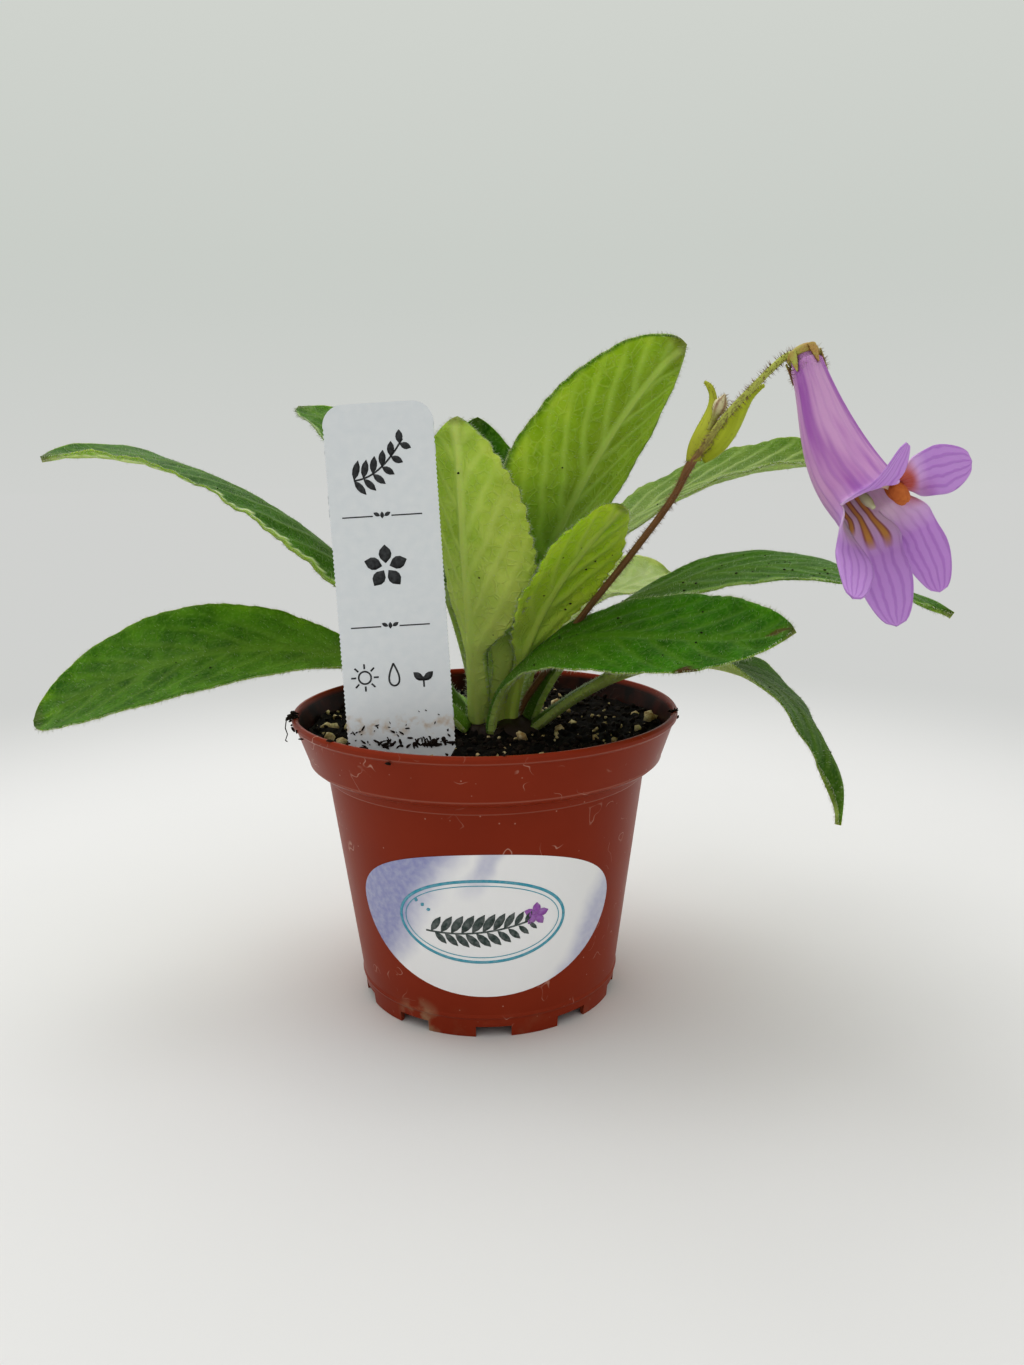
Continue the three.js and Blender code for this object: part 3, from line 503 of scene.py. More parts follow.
# Stray peat on the rim: crumbs caught on the bead at the left and right ends and along the
# back left, a clump at the left end, and a root thread that hangs from it.
bm = bmesh.new()
for turn_degrees, spread, count in ((191, 4, 16), (348, 3, 8), (240, 50, 7)):
    for k in range(count):
        turn = math.radians(turn_degrees + rng.gauss(0, spread / 2))
        on_top = rng.random() < 0.75
        radius = 50.4 + rng.uniform(-1.0, 0.5)
        height = 78.2 if on_top else rng.uniform(74, 78)
        size = rng.uniform(0.2, 0.75)
        if not on_top:
            radius = 51.0 - max(0.0, 75.8 - height) * 0.33 + size * 0.3
        centre = (radius * math.cos(turn), radius * math.sin(turn), height)
        add_grain(bm, centre, (size * 1.6, size * 0.6, size * 0.5))
for k in range(14):
    centre = (-49.9 + rng.gauss(0, 0.5), -11.5 + rng.gauss(0, 1.2), 78.0 + rng.gauss(0.2, 0.5))
    add_grain(bm, centre, (0.9, 0.4, 0.3))
thread = [Vector(point) for point in (
    (-49.6, -12, 78.3), (-50.9, -12.6, 77.6), (-51.2, -12.9, 75.6), (-50.7, -13, 74),
    (-51.3, -13.1, 72.4), (-50.8, -13.1, 72.0))]
for start, end in zip(thread, thread[1:]):
    run = end - start
    turn = run.to_track_quat("Z", "X").to_matrix().to_4x4()
    bmesh.ops.create_cone(
        bm, cap_ends=True, segments=6, radius1=0.14 * MM, radius2=0.12 * MM, depth=run.length * MM,
        matrix=Matrix.Translation((start + run / 2) * MM) @ turn,
    )
finish_piece(bm, "rim_crumbs", [bark], "potting_mix")

# Plant label: a white polystyrene stake 26 mm wide, punched from a roll, so its long edges are
# finely toothed. It is pushed into the soil at the front and leans a little back and left.
LABEL_WIDTH, LABEL_LENGTH, LABEL_POINT, LABEL_ROUND = 26.0, 102.0, 20.0, 5.0
LABEL_THICK = 0.6
LABEL_TEETH, LABEL_TOOTH_DEPTH, CORNER_STEPS = 74, 0.24, 8
label_foot, label_head = Vector((-19.5, -30.6, 75)), Vector((-23.4, -23.5, 156))
label_up = (label_head - label_foot).normalized()
label_right = Vector((1, 0, 0))
label_right = (label_right - label_up * label_right.dot(label_up)).normalized()
label_out = label_right.cross(label_up)
label_tip = label_head - label_up * LABEL_LENGTH


def on_label(x, y, lift):
    """The point x mm right of the stake's middle line and y mm above its tip, lift off its face."""
    return (label_tip + label_right * x + label_up * y + label_out * (LABEL_THICK / 2 + lift)) * MM


edge = []
for k in range(LABEL_TEETH * 2 + 1):
    y = LABEL_POINT + (LABEL_LENGTH - LABEL_ROUND - LABEL_POINT) * k / (LABEL_TEETH * 2)
    edge.append((LABEL_WIDTH / 2 - (LABEL_TOOTH_DEPTH if k % 2 else 0.0), y))
for k in range(1, CORNER_STEPS + 1):
    turn = math.radians(90 * k / CORNER_STEPS)
    edge.append((LABEL_WIDTH / 2 - LABEL_ROUND * (1 - math.cos(turn)),
                 LABEL_LENGTH - LABEL_ROUND * (1 - math.sin(turn))))
outline = [(0, 0)] + edge + [(-x, y) for x, y in reversed(edge)]
bm = bmesh.new()
corners = [bm.verts.new((x, y, 0)) for x, y in outline]
bm.faces.new(corners)
places = {vert: (vert.co.x / CHART_UNIT, vert.co.y / CHART_UNIT) for vert in corners}
lay_chart(bm, bm.faces, places)
bmesh.ops.triangulate(bm, faces=bm.faces[:])
top = second_skin(bm, bm.faces[:])
for vert in bm.verts:
    vert.co = on_label(vert.co.x, vert.co.y, 0.0 if vert in top else -LABEL_THICK)
bmesh.ops.recalc_face_normals(bm, faces=bm.faces[:])

# White polystyrene sheet, die cut: smooth and faintly bluish, with tan tide marks where the
# splashed water dried on its lowest centimetre.
stake, tree = new_finish("white polystyrene sheet")
chart = add_node(tree, "UVMap")
up = add_node(tree, "SeparateXYZ", {0: chart}).outputs[1]
wander = add_node(tree, "TexNoise", {"Vector": chart, "Scale": 22.0, "Detail": 3.0})
tide = add_node(tree, "Math", {0: wander, 1: -0.12, 2: up}, operation="MULTIPLY_ADD")
tide_line = near(tree, tide, 0.2, 0.02, 0.002, 0.6)
blotch = add_node(tree, "TexNoise", {"Vector": chart, "Scale": 40.0, "Detail": 4.0})
blotchy = add_node(tree, "MapRange", {0: blotch, 1: 0.4, 2: 0.6})
tide_share = add_node(tree, "Math", {0: tide_line, 1: blotchy}, operation="MULTIPLY")
clean = add_node(tree, "Mix", {0: blotch, 6: "dde3e6", 7: "ebeeef"}, data_type="RGBA")
colour = add_node(tree, "Mix", {0: tide_share, 6: clean, 7: "b9986a"}, data_type="RGBA")
close_finish(tree, {"Base Color": colour, "Roughness": 0.42})
label = finish_piece(bm, "plant_label_stake", [stake], "label_plastic", "plant_label")
label.data.set_sharp_from_angle(angle=math.radians(35))

# Print on the stake: black ink in three fields divided by two ruled lines, as care labels
# have. They hold a spray of leaves, a five-petalled flower, and a sun, a drop and a leaf.
black_ink = two_tone("black printing ink", 1200.0, 2.0, ("101214", "9aa0a4"), 0.4,
                     share=(0.35, 0.7, 0.12))
bm = bmesh.new()
for level in (76.0, 50.0):
    for side in (-1, 1):
        print_line(bm, [(side * (2.2 + 0.8 * k), level) for k in range(10)], 0.28)
        print_leaf(bm, side * 0.5, level, 1.7, 0.9, 90 - side * 62)
    print_leaf(bm, 0, level - 0.6, 1.6, 0.9, 90)
spray = [(-6 + 0.75 * k, 84.5 + 0.035 * k * k) for k in range(17)]
print_line(bm, spray, 0.4)
for k in range(0, 17, 3):
    x, y = spray[k]
    print_leaf(bm, x, y, 4.8 - 0.1 * k, 1.7, 74 + k)
    print_leaf(bm, x, y, 4.4 - 0.1 * k, 1.6, -52 + 2 * k)
for k in range(5):
    turn_degrees = 72 * k + 90
    turn = math.radians(turn_degrees)
    print_leaf(bm, 0.9 * math.cos(turn), 64 + 0.9 * math.sin(turn), 4.4, 3.0, turn_degrees)
print_line(bm, oval(-7, 38, 1.5, 1.5, 24), 0.4)
for k in range(8):
    turn = math.radians(45 * k)
    ray = [(-7 + r * math.cos(turn), 38 + r * math.sin(turn)) for r in (2.1, 2.7, 3.3)]
    print_line(bm, ray, 0.4)
drop = [(1.7 * math.sin(a) * (math.sin(a / 2)) ** 1.3, 38.4 + 2.7 * math.cos(a))
        for a in (math.radians(12 * k) for k in range(31))]
print_line(bm, drop, 0.42)
print_line(bm, [(7, 35 + 0.5 * k) for k in range(6)], 0.4)
for turn_degrees in (42, 138):
    print_leaf(bm, 7, 36.5, 3.2, 1.7, turn_degrees)
wrap_print(bm, lambda x, y, lift: on_label(x - 0.6, y, lift + 0.02))
finish_piece(bm, "plant_label_print", [black_ink], "label_plastic")

# Wet peat splashed up on the stake's foot, in flecks that are thickest at its lower right.
FLECKS = 110
label_turn = Matrix((label_right, label_up, label_out)).transposed().to_4x4()
bm = bmesh.new()
for k in range(FLECKS):
    clump = rng.random() < 0.55
    y = 20.6 + abs(rng.gauss(0, 1.1 if clump else 3.2))
    x = rng.gauss(7.5, 2.6) if clump else rng.uniform(-12.0, 12.0)
    if abs(x) > 12.6:
        continue
    size = rng.uniform(0.12, 0.42) * (1.5 if y < 22.5 else 1.0) * MM
    turn = Matrix.Rotation(rng.uniform(0, 3.14), 4, "Z")
    scale = Matrix.Diagonal((size * rng.uniform(1.0, 2.4), size * 0.7, size * 0.6, 1))
    fleck = Matrix.Translation(on_label(x, y, 0.05)) @ label_turn @ turn @ scale
    add_copy(bm, rng.choice(grain_shapes), fleck)
finish_piece(bm, "stake_flecks", [bark], "potting_mix")

# Crown: the plant's short stem, a low fleshy mound half in the soil, green where the leaves
# leave it and reddish brown with old leaf scars at the soil.
CROWN_X, CROWN_KNOBS, CROWN_STEPS = 4.5, 3, 48
mound = [(0, 62), (7, 66), (10.5, 71), (10.2, 72.4), (9.4, 73.4), (7.6, 74.2), (5, 74.7),
         (2.4, 74.9), (0, 75)]
bm = spun(mound, CROWN_STEPS)
bmesh.ops.subdivide_edges(bm, edges=bm.edges[:], cuts=1, use_grid_fill=True, smooth=0.2)
bmesh.ops.recalc_face_normals(bm, faces=bm.faces[:])
for vert in bm.verts:
    knob = noise.noise(vert.co / (CROWN_KNOBS * MM))
    vert.co += Vector((vert.co.x, vert.co.y, 0)).normalized() * knob * 0.7 * MM
    vert.co += Vector((CROWN_X, 0, knob * 0.5)) * MM

# Living stem tissue: fleshy, green at its top and reddish brown low down, with a dull skin.
stem_tissue, tree = new_finish("fleshy stem tissue")
place = add_node(tree, "TexCoord").outputs["Object"]
height = add_node(tree, "SeparateXYZ", {0: place}).outputs[2]
mottle = add_node(tree, "TexNoise", {"Vector": place, "Scale": 350.0, "Detail": 4.0})
uneven = add_node(tree, "Math", {0: mottle, 1: 0.004, 2: height}, operation="MULTIPLY_ADD")
green_share = add_node(tree, "MapRange", {0: uneven, 1: 0.0765, 2: 0.0815})
colour = add_node(tree, "Mix", {0: green_share, 6: "2c1710", 7: "5f7a28"}, data_type="RGBA")
relief = add_node(tree, "Bump", {"Strength": 0.5, "Distance": 0.0005, "Height": mottle})
close_finish(tree, {"Base Color": colour, "Roughness": 0.65, "Normal": relief})
finish_piece(bm, "crown_stem", [stem_tissue], "crown_tissue", "crown")

# Leaves: thirteen fleshy blades on short flat petioles, spirally set round the crown. Upper
# faces are deep green, undersides pale with a raised midrib and slanting side veins, margins
# are toothed and waved, and fine white hairs stand on every face and edge.
LEAF_ROWS, LEAF_COLUMNS = 110, 28
VEIN_STEP, VEIN_SLOPE, VEIN_CURVE, VEIN_STAGGER, VEIN_SLANT = 11.0, 1.35, 0.03, 0.45, 0.58
VEIN_WANDER = 0.035
TOOTH_RISE = 0.78
CHART_MIDDLE, CHART_STEP = 60, 13
BLADE_FILL = 0.62

# Lengths are in mm and angles in degrees. heading, rise, roll and fold are a leaf's compass
# way, climb, tilt and trough at even steps along its midrib. petiole and peak are shares of its
# length, and a margin is a side, its inner edge, its first and last share and its two greens.
leaves = {
    "leaf_right_front": dict(
        root=(1.5, -7.5, 72.5), heading=(-30, -40, -38), rise=(86, 24, 3, 20),
        roll=(27, 24, 35), fold=(-2, 3, 10), length=98, width=32, petiole=0.06, peak=0.59,
        blunt=0.1, wave=0.2, specks=12,
        spots=((0.8, -1.0, 2.4, "4a2c18"), (0.97, 0.0, 3.0, "4c3420")),
        upper=("285a00", "3f7604"), under=("7c9c38", "98b048")),
    # Painted light: this leaf's underside greens are brighter than the other leaves', for the light
    # that shines through its upright blade from behind.
    "leaf_front_left": dict(
        root=(-1.5, -3, 73.5), heading=(-97, -100, -101), rise=(69, 73, 79, 75),
        roll=(-4, -37, -11), fold=(16, 20, 3), length=82, width=37, petiole=0.24, peak=0.5,
        petiole_share=0.18, blunt=0.3, tooth=1.2, tooth_step=3.7, facing=-1,
        upper=("4c7414", "6c9430"), under=("a2bc44", "bcd060")),
    "leaf_front_right": dict(
        root=(3, -2.5, 73.5), heading=(-40, -24, -10), rise=(82, 67, 59, 41),
        roll=(-8, -24, -35), fold=(15, 15, 9), length=109, width=43, petiole=0.09, peak=0.6,
        petiole_share=0.2, blunt=0.4, keen=1.0, wave=0.2, turn_up=0.1, facing=-1,
        margins=((1, 0.95, 0.35, 1.02, "2c4c10", "3c6018"),
                 (-1, 0.95, 0.35, 1.02, "2c4c10", "3c6018")),
        upper=("3c6a0c", "5c8820"), under=("869e1e", "9cb238")),
    "leaf_right_arch": dict(
        root=(11.2, 1.8, 72.5), heading=(-31, -10, -25), rise=(71, 32, 0, -31),
        roll=(37, 11, -3), fold=(-22, 1, -11), length=126, width=37, petiole=0.32, peak=0.53,
        wave=0.12, turn_up=0.1, specks=40,
        margins=((-1, 0.78, 0.1, 0.97, "5c7c28", "7c9c44"),),
        upper=("2c5808", "406c14"), under=("86a43c", "9ab450")),
    "leaf_right_droop": dict(
        root=(13, -3, 72.5), heading=(-15, -19, -21), rise=(39, 15, -38, -93),
        roll=(12, -6, 13), fold=(14, 11, -36), length=108, width=34, petiole=0.18, peak=0.42,
        upper=("345a0a", "466a18"), under=("7c9440", "90a450")),
    # Painted light: this leaf's underside greens are partly a young leaf's paler green and partly
    # painted brighter, for the light that shines through its upright blade from behind.
    "leaf_young_right": dict(
        root=(6.6, -2, 73.5), heading=(-54, -47, -16), rise=(84, 61, 51, 41),
        roll=(-12, -4, -18), fold=(13, -10, 6), length=70, width=28.5, petiole=0.22, peak=0.68,
        blunt=0.5, tooth=1.1, tooth_step=3.8, specks=8, facing=-1,
        upper=("5a8a14", "78a028"), under=("b0d628", "c6e048")),
    "leaf_left_low": dict(
        root=(-5, -4, 72.5), heading=(186, 191, 186), rise=(51, 16, -12, -29),
        roll=(-25, -31, -23), fold=(12, 11, 9), length=118, width=34, petiole=0.22, peak=0.61,
        blunt=0.85, wave=0.12, specks=6,
        upper=("2c5604", "527c1a"), under=("86a43c", "9ab450")),
    "leaf_left_high": dict(
        root=(-4.5, 1, 72.5), heading=(163, 183, 195), rise=(58, 48, 26, -12),
        roll=(-31, -4, -12), fold=(-7, -15, 15), length=137, width=33, petiole=0.12, peak=0.61,
        wave=0.2, turn_up=0.35,
        margins=((1, 0.8, 0.1, 0.97, "ccd8ac", "d4deb8"), (1, 0.86, 0.1, 0.97, "7c9c38", "98b050")),
        upper=("2e5410", "48702a"), under=("9cb05c", "b0c070")),
    "leaf_left_back": dict(
        root=(-2, 4.5, 73), heading=(161, 157, 154), rise=(83, 70, 51, 12),
        roll=(24, 0, -10), fold=(-6, 4, 5), length=105, width=29, petiole=0.34, peak=0.57,
        blunt=0.3, margins=((1, 0.86, 0.3, 0.98, "8ca868", "a8bc84"),),
        upper=("35600c", "4c7418"), under=("86a43c", "9ab450")),
    "leaf_right_back": dict(
        root=(9, 5, 73), heading=(28, 21, 14), rise=(82, 46, 16, 2),
        roll=(26, -2, 20), fold=(20, 8, 14), length=136, width=37, petiole=0.14, peak=0.7,
        blunt=0.3, tooth=0.9, tooth_step=4.4,
        upper=("52701c", "6a822e"), under=("90a456", "a4b46c")),
    "leaf_back_pale": dict(
        root=(6, 8, 73), heading=(60, 49, 49), rise=(51, 27, 11, 2),
        roll=(-1, 6, 30), fold=(10, 5, 19), length=92, width=22, petiole=0.62, peak=0.6,
        petiole_share=0.13, blunt=0.6,
        upper=("9cac6c", "b0bc88"), under=("b0c080", "c0cc94")),
    "leaf_back_upright": dict(
        root=(1, 3, 73.5), heading=(115, 102, 88), rise=(84, 83, 80, 72),
        roll=(0, 8, 14), fold=(12, 12, 8), length=81, width=26, petiole=0.2, peak=0.6,
        upper=("284e0a", "3e6616"), under=("7c9c38", "98b048")),
    "leaf_back_low": dict(
        root=(-1, 8, 72.5), heading=(140, 148, 155), rise=(30, 16, 8, -10),
        roll=(0, 0, 0), fold=(10, 8, 4), length=62, width=22, petiole=0.22, peak=0.6,
        upper=("4c7c1c", "689430"), under=("98b048", "a8bc5c")),
}


def through(values, s):
    """The value at s, from 0 to 1, of the smooth curve through evenly spaced values."""
    steps = len(values) - 1
    total = 0.0
    for i, value in enumerate(values):
        for j in range(steps + 1):
            if j != i:
                value *= (s * steps - j) / (i - j)
        total += value
    return total


def ramp(value, low, high):
    """Smooth step from 0 at low to 1 at high."""
    t = min(1.0, max(0.0, (value - low) / (high - low)))
    return t * t * (3 - 2 * t)


def midrib(leaf, rows):
    """Frames along a leaf's midrib: place, way along, way across and upper normal."""
    frames = []
    place, before = Vector(leaf["root"]), None
    for i in range(rows + 1):
        heading, rise, roll = (
            math.radians(through(leaf[key], i / rows)) for key in ("heading", "rise", "roll"))
        level_way = Vector((math.cos(heading), math.sin(heading), 0))
        along = level_way * math.cos(rise) + Vector((0, 0, math.sin(rise)))
        level = Vector((-math.sin(heading), math.cos(heading), 0))
        upright = along.cross(level)
        if before:
            place = place + (before + along) * leaf["length"] / rows / 2
        before = along
        across = level * math.cos(roll) + upright * math.sin(roll)
        normal = upright * math.cos(roll) - level * math.sin(roll)
        frames.append((place, along, across, normal))
    return frames


def width_share(leaf, s, v=-1):
    """Half width at s as a share of the widest, for a blade from its petiole to its tip.

    blunt rounds the tip off, and keen keeps it pointed on the side where v is positive.
    """
    petiole, peak = leaf["petiole"], leaf["peak"]
    u = min(1.0, max(0.0, (s - petiole) / (1 - petiole)))
    fall = 1.15 * (1 - peak) / peak
    share = u ** 1.15 * (1 - u) ** fall / (peak ** 1.15 * (1 - peak) ** fall)
    blunt = leaf.get("blunt", 0.0) * ramp(u, peak, 1.0)
    blunt *= 1 - leaf.get("keen", 0.0) * ramp(v, -0.3, 0.3)
    rounded = math.sqrt(max(0.0, 1 - (max(0.0, u - peak) / (1 - peak)) ** 2.6))
    return share * (1 - blunt) + blunt * rounded


def vein_distance(d, y):
    """How far, in mm, a place d mm from the midrib and y mm along it lies from a side vein."""
    stagger = VEIN_STAGGER if d < 0 else 0
    phase = (y - VEIN_SLOPE * abs(d) - VEIN_CURVE * d * d) / VEIN_STEP + stagger
    return abs(phase - math.floor(phase + 0.5)) * VEIN_STEP * VEIN_SLANT


def margin_reaches(leaf, s, v, y):
    """How far v lies within each of a leaf's turned-up margins, and that margin's two greens."""
    reaches = []
    for side, start, first, last, deep, light in leaf.get("margins", ()):
        wavy = start + (1 - start) * (0.25 * math.sin(y * 0.6) + 0.15 * math.sin(y * 1.5 + 1))
        within = (v * side - wavy) * ramp(s, first, first + 0.05) * ramp(s, last, last - 0.05)
        reaches.append((within, deep, light))
    return reaches


def leaf_shell(bm, leaf, rows, columns, form, seed, under_index):
    """Adds a leaf's closed shell, and gives a function for a point on it and its ways."""
    frames = midrib(leaf, rows)
    form = {**form, **leaf}
    petiole_width = leaf["width"] * form["blade_petiole_share"]
    stalk_width = leaf["width"] * leaf.get("petiole_share", form["blade_petiole_share"])

    def half_at(s, v):
        """Half width with teeth in mm, how far it is blade and not petiole, and the blade's half."""
        blade = width_share(leaf, s, v) * leaf["width"] / 2
        stalk_half = stalk_width / 2 * math.sqrt(max(0.0, 1 - s))
        leafy = ramp(blade, petiole_width * 0.5, petiole_width * 1.6)
        beat = s * leaf["length"] / form["tooth_step"] + 0.5 * noise.noise(Vector((s * 9, seed, v > 0)))
        part = beat - math.floor(beat)
        saw = part / TOOTH_RISE if part < TOOTH_RISE else (1 - part) / (1 - TOOTH_RISE)
        tooth = form["tooth"] * saw ** 0.8 * leafy * ramp(s, 1.0, 0.93) * ramp(abs(v), 0.6, 1.0)
        least = form["narrowest"] * (1 - 0.7 * ramp(s, 0.98, 1.0))
        return max((blade ** 3 + stalk_half ** 3) ** (1 / 3), least) + tooth, leafy, blade

    def point(s, v, side):
        """A point on the upper (side 1) or under face, its three ways, and its chart place in mm."""
        i = min(rows - 1, int(s * rows))
        t = s * rows - i
        place, along, across, normal = (a.lerp(b, t) for a, b in zip(frames[i], frames[i + 1]))
        half, leafy, blade = half_at(s, v)
        d, y = v * half, s * leaf["length"]
        fold = math.radians(through(leaf["fold"], s))
        ripple = math.sin(y * 0.42) + 0.6 * noise.noise(Vector((y / 9, seed, 3 if v > 0 else 7)))
        wave = leafy * min(form["wave"], blade * 0.07) * ripple
        turned = max([0.0] + [within for within, _, _ in margin_reaches(leaf, s, v, y)])
        spot = place + across * v * half * math.cos(fold)
        spot += normal * (v * v * (half * math.sin(fold) + (wave if v > 0 else -wave)))
        spot += normal * turned * half * form["turn_up"]
        thick = form["margin"] + (form["middle"] - form["margin"]) * (1 - abs(v)) ** 2
        stalk_thick = petiole_width * form["petiole_depth"] * (1 - 0.5 * v * v)
        thick = thick * leafy + stalk_thick * (1 - leafy)
        thick = thick / 2 * (0.55 + 0.45 * ramp(s, 1.0, 0.9))
        vein = math.exp(-(vein_distance(d, y) / 1.8) ** 2)
        vein *= ramp(abs(d), 0.5, 2.5) * ramp(abs(v), 1.0, 0.7)
        rib = math.exp(-(d / (1.2 - 0.7 * s)) ** 2)
        if side > 0:
            puckers = 0.12 * noise.noise(Vector((d / 4, y / 4, seed))) - 0.2 * vein - 0.35 * rib
            offset = thick + leafy * form["relief"] * puckers
        else:
            offset = -thick - leafy * form["relief"] * (0.32 * vein + 0.9 * rib * (1 - s) ** 0.6)
        return (spot + normal * offset) * MM, along, across, normal, d, y

    bm.loops.layers.uv.verify()
    deep_layer = bm.verts.layers.float_color.new("deep")
    light_layer = bm.verts.layers.float_color.new("light")
    edge_layer = bm.verts.layers.float.new("edge")
    reach_layer = bm.verts.layers.float.new("reach")
    flat = bmesh.ops.create_grid(bm, x_segments=columns, y_segments=rows, size=1)["verts"]
    upper = second_skin(bm, list(faces_of(flat)))
    charted = {}
    for vert in list(upper) + flat:
        s, v = 1 - ((1 - vert.co.y) / 2) ** 1.4, vert.co.x
        on_top = vert in upper
        spot, _, _, _, d, y = point(s, v, 1 if on_top else -1)
        charted[vert] = ((d + CHART_MIDDLE) / CHART_UNIT, (y + CHART_STEP * seed) / CHART_UNIT)
        deep, light = (Vector(linear(code)) for code in leaf["upper" if on_top else "under"])
        for within, margin_deep, margin_light in margin_reaches(leaf, s, v, y):
            share = ramp(within, 0.002, 0.035)
            deep = deep.lerp(Vector(linear(margin_deep)), share)
            light = light.lerp(Vector(linear(margin_light)), share)
        for spot_s, spot_v, spot_size, spot_code in leaf.get("spots", ()):
            far = math.hypot((s - spot_s) * leaf["length"], (v - spot_v) * leaf["width"] / 2)
            if far < spot_size * (1 + 0.5 * noise.noise(spot / (2 * MM))):
                deep = light = Vector(linear(spot_code))
        vert[deep_layer], vert[light_layer] = deep, light
        vert[edge_layer], vert[reach_layer] = abs(v), s
        vert.co = spot
    made = faces_of(charted)
    for face in made:
        face.material_index = 0 if all(vert in upper for vert in face.verts) else under_index
    lay_chart(bm, made, charted)
    bmesh.ops.recalc_face_normals(bm, faces=list(made))
    return point


bm = bmesh.new()
bmesh.ops.create_cone(bm, cap_ends=True, segments=3, radius1=1, radius2=0, depth=1,
                      matrix=Matrix.Translation((0, 0, 0.5)))
bmesh.ops.remove_doubles(bm, verts=bm.verts[:], dist=0.001)
hair_shape = new_shape(bm, "hair")


def add_hair(bm, root, way, length, index, radius=0.055):
    """Adds one tapering hair at root, along way, of a length and foot radius in mm."""
    turn = way.normalized().to_track_quat("Z", "X").to_matrix().to_4x4()
    thick = radius * min(1.0, length) * MM
    scale = Matrix.Diagonal((thick, thick, length * MM, 1))
    add_copy(bm, hair_shape, Matrix.Translation(root) @ turn @ scale, index)


def add_leaf_hairs(bm, leaf, point, per_mm, per_mm2, length, index):
    """Sets a fringe of hairs on both margins and scatters hairs over both faces."""
    for k in range(int(leaf["length"] * per_mm)):
        for side in (-1, 1):
            s = min(0.995, max(0.01, (k + hair_rng.random()) / (leaf["length"] * per_mm)))
            root, along, across, normal = point(s, side * 0.995, hair_rng.choice((-1, 1)))[:4]
            way = across * side + along * hair_rng.uniform(0.0, 0.8)
            way += normal * hair_rng.uniform(-0.7, 0.7)
            add_hair(bm, root, way, length * hair_rng.uniform(0.6, 1.15), index, 0.065)
    for k in range(int(leaf["length"] * leaf["width"] * BLADE_FILL * per_mm2)):
        s, v = hair_rng.uniform(0.0, 0.99), hair_rng.uniform(-0.97, 0.97)
        side = hair_rng.choice((-1, 1))
        if hair_rng.random() > width_share(leaf, s) + 0.25:
            continue
        root, along, across, normal = point(s, v, side)[:4]
        way = normal * side + along * hair_rng.uniform(0.1, 0.9)
        way += across * hair_rng.uniform(-0.4, 0.4)
        add_hair(bm, root, way, length * hair_rng.uniform(0.3, 0.75), index)


def vein_masks(tree, chart):
    """Nodes that give the side veins, the midrib and the fine net of a leaf from its chart."""
    wander = add_node(tree, "TexNoise", {"Vector": chart, "Scale": 7.0}).outputs["Color"]
    middle = CHART_MIDDLE / CHART_UNIT
    drift = add_node(tree, "VectorMath", {0: wander, 1: (VEIN_WANDER,) * 3,
                                          2: (-VEIN_WANDER / 2,) * 3}, operation="MULTIPLY_ADD")
    wandered = add_node(tree, "VectorMath", {0: chart, 1: drift}, operation="ADD")
    across, along, _ = add_node(tree, "SeparateXYZ", {0: wandered}).outputs
    plain_across = add_node(tree, "SeparateXYZ", {0: chart}).outputs[0]
    d_off = add_node(tree, "Math", {0: across, 1: middle}, operation="SUBTRACT")
    d = add_node(tree, "Math", {0: d_off}, operation="ABSOLUTE")
    slope = add_node(tree, "Math", {0: d, 1: VEIN_CURVE * CHART_UNIT, 2: VEIN_SLOPE},
                     operation="MULTIPLY_ADD")
    lead = add_node(tree, "Math", {0: d, 1: slope}, operation="MULTIPLY")
    start = add_node(tree, "Math", {0: along, 1: lead}, operation="SUBTRACT")
    phase = add_node(tree, "Math", {0: start, 1: CHART_UNIT / VEIN_STEP}, operation="MULTIPLY")
    left = add_node(tree, "Math", {0: plain_across, 1: middle}, operation="LESS_THAN")
    staggered = add_node(tree, "Math", {0: left, 1: VEIN_STAGGER, 2: phase},
                         operation="MULTIPLY_ADD")
    away = add_node(tree, "Math", {0: staggered, 1: 0.5}, operation="PINGPONG")
    side_vein = add_node(tree, "MapRange", {0: away, 1: 0.28, 2: 0.02},
                         interpolation_type="SMOOTHSTEP")
    edge = add_node(tree, "Attribute", attribute_name="edge").outputs["Fac"]
    fading = add_node(tree, "MapRange", {0: edge, 1: 1.0, 2: 0.55, 3: 0.25})
    vein = add_node(tree, "Math", {0: side_vein, 1: fading}, operation="MULTIPLY")
    rib = near(tree, plain_across, middle, 0.022, 0.004, interpolation_type="SMOOTHSTEP")
    mesh_edge = add_node(tree, "TexVoronoi", {"Vector": wandered, "Scale": 36.0},
                         feature="DISTANCE_TO_EDGE")
    net = add_node(tree, "MapRange", {0: mesh_edge, 1: 0.09, 2: 0.01})
    return vein, rib, net


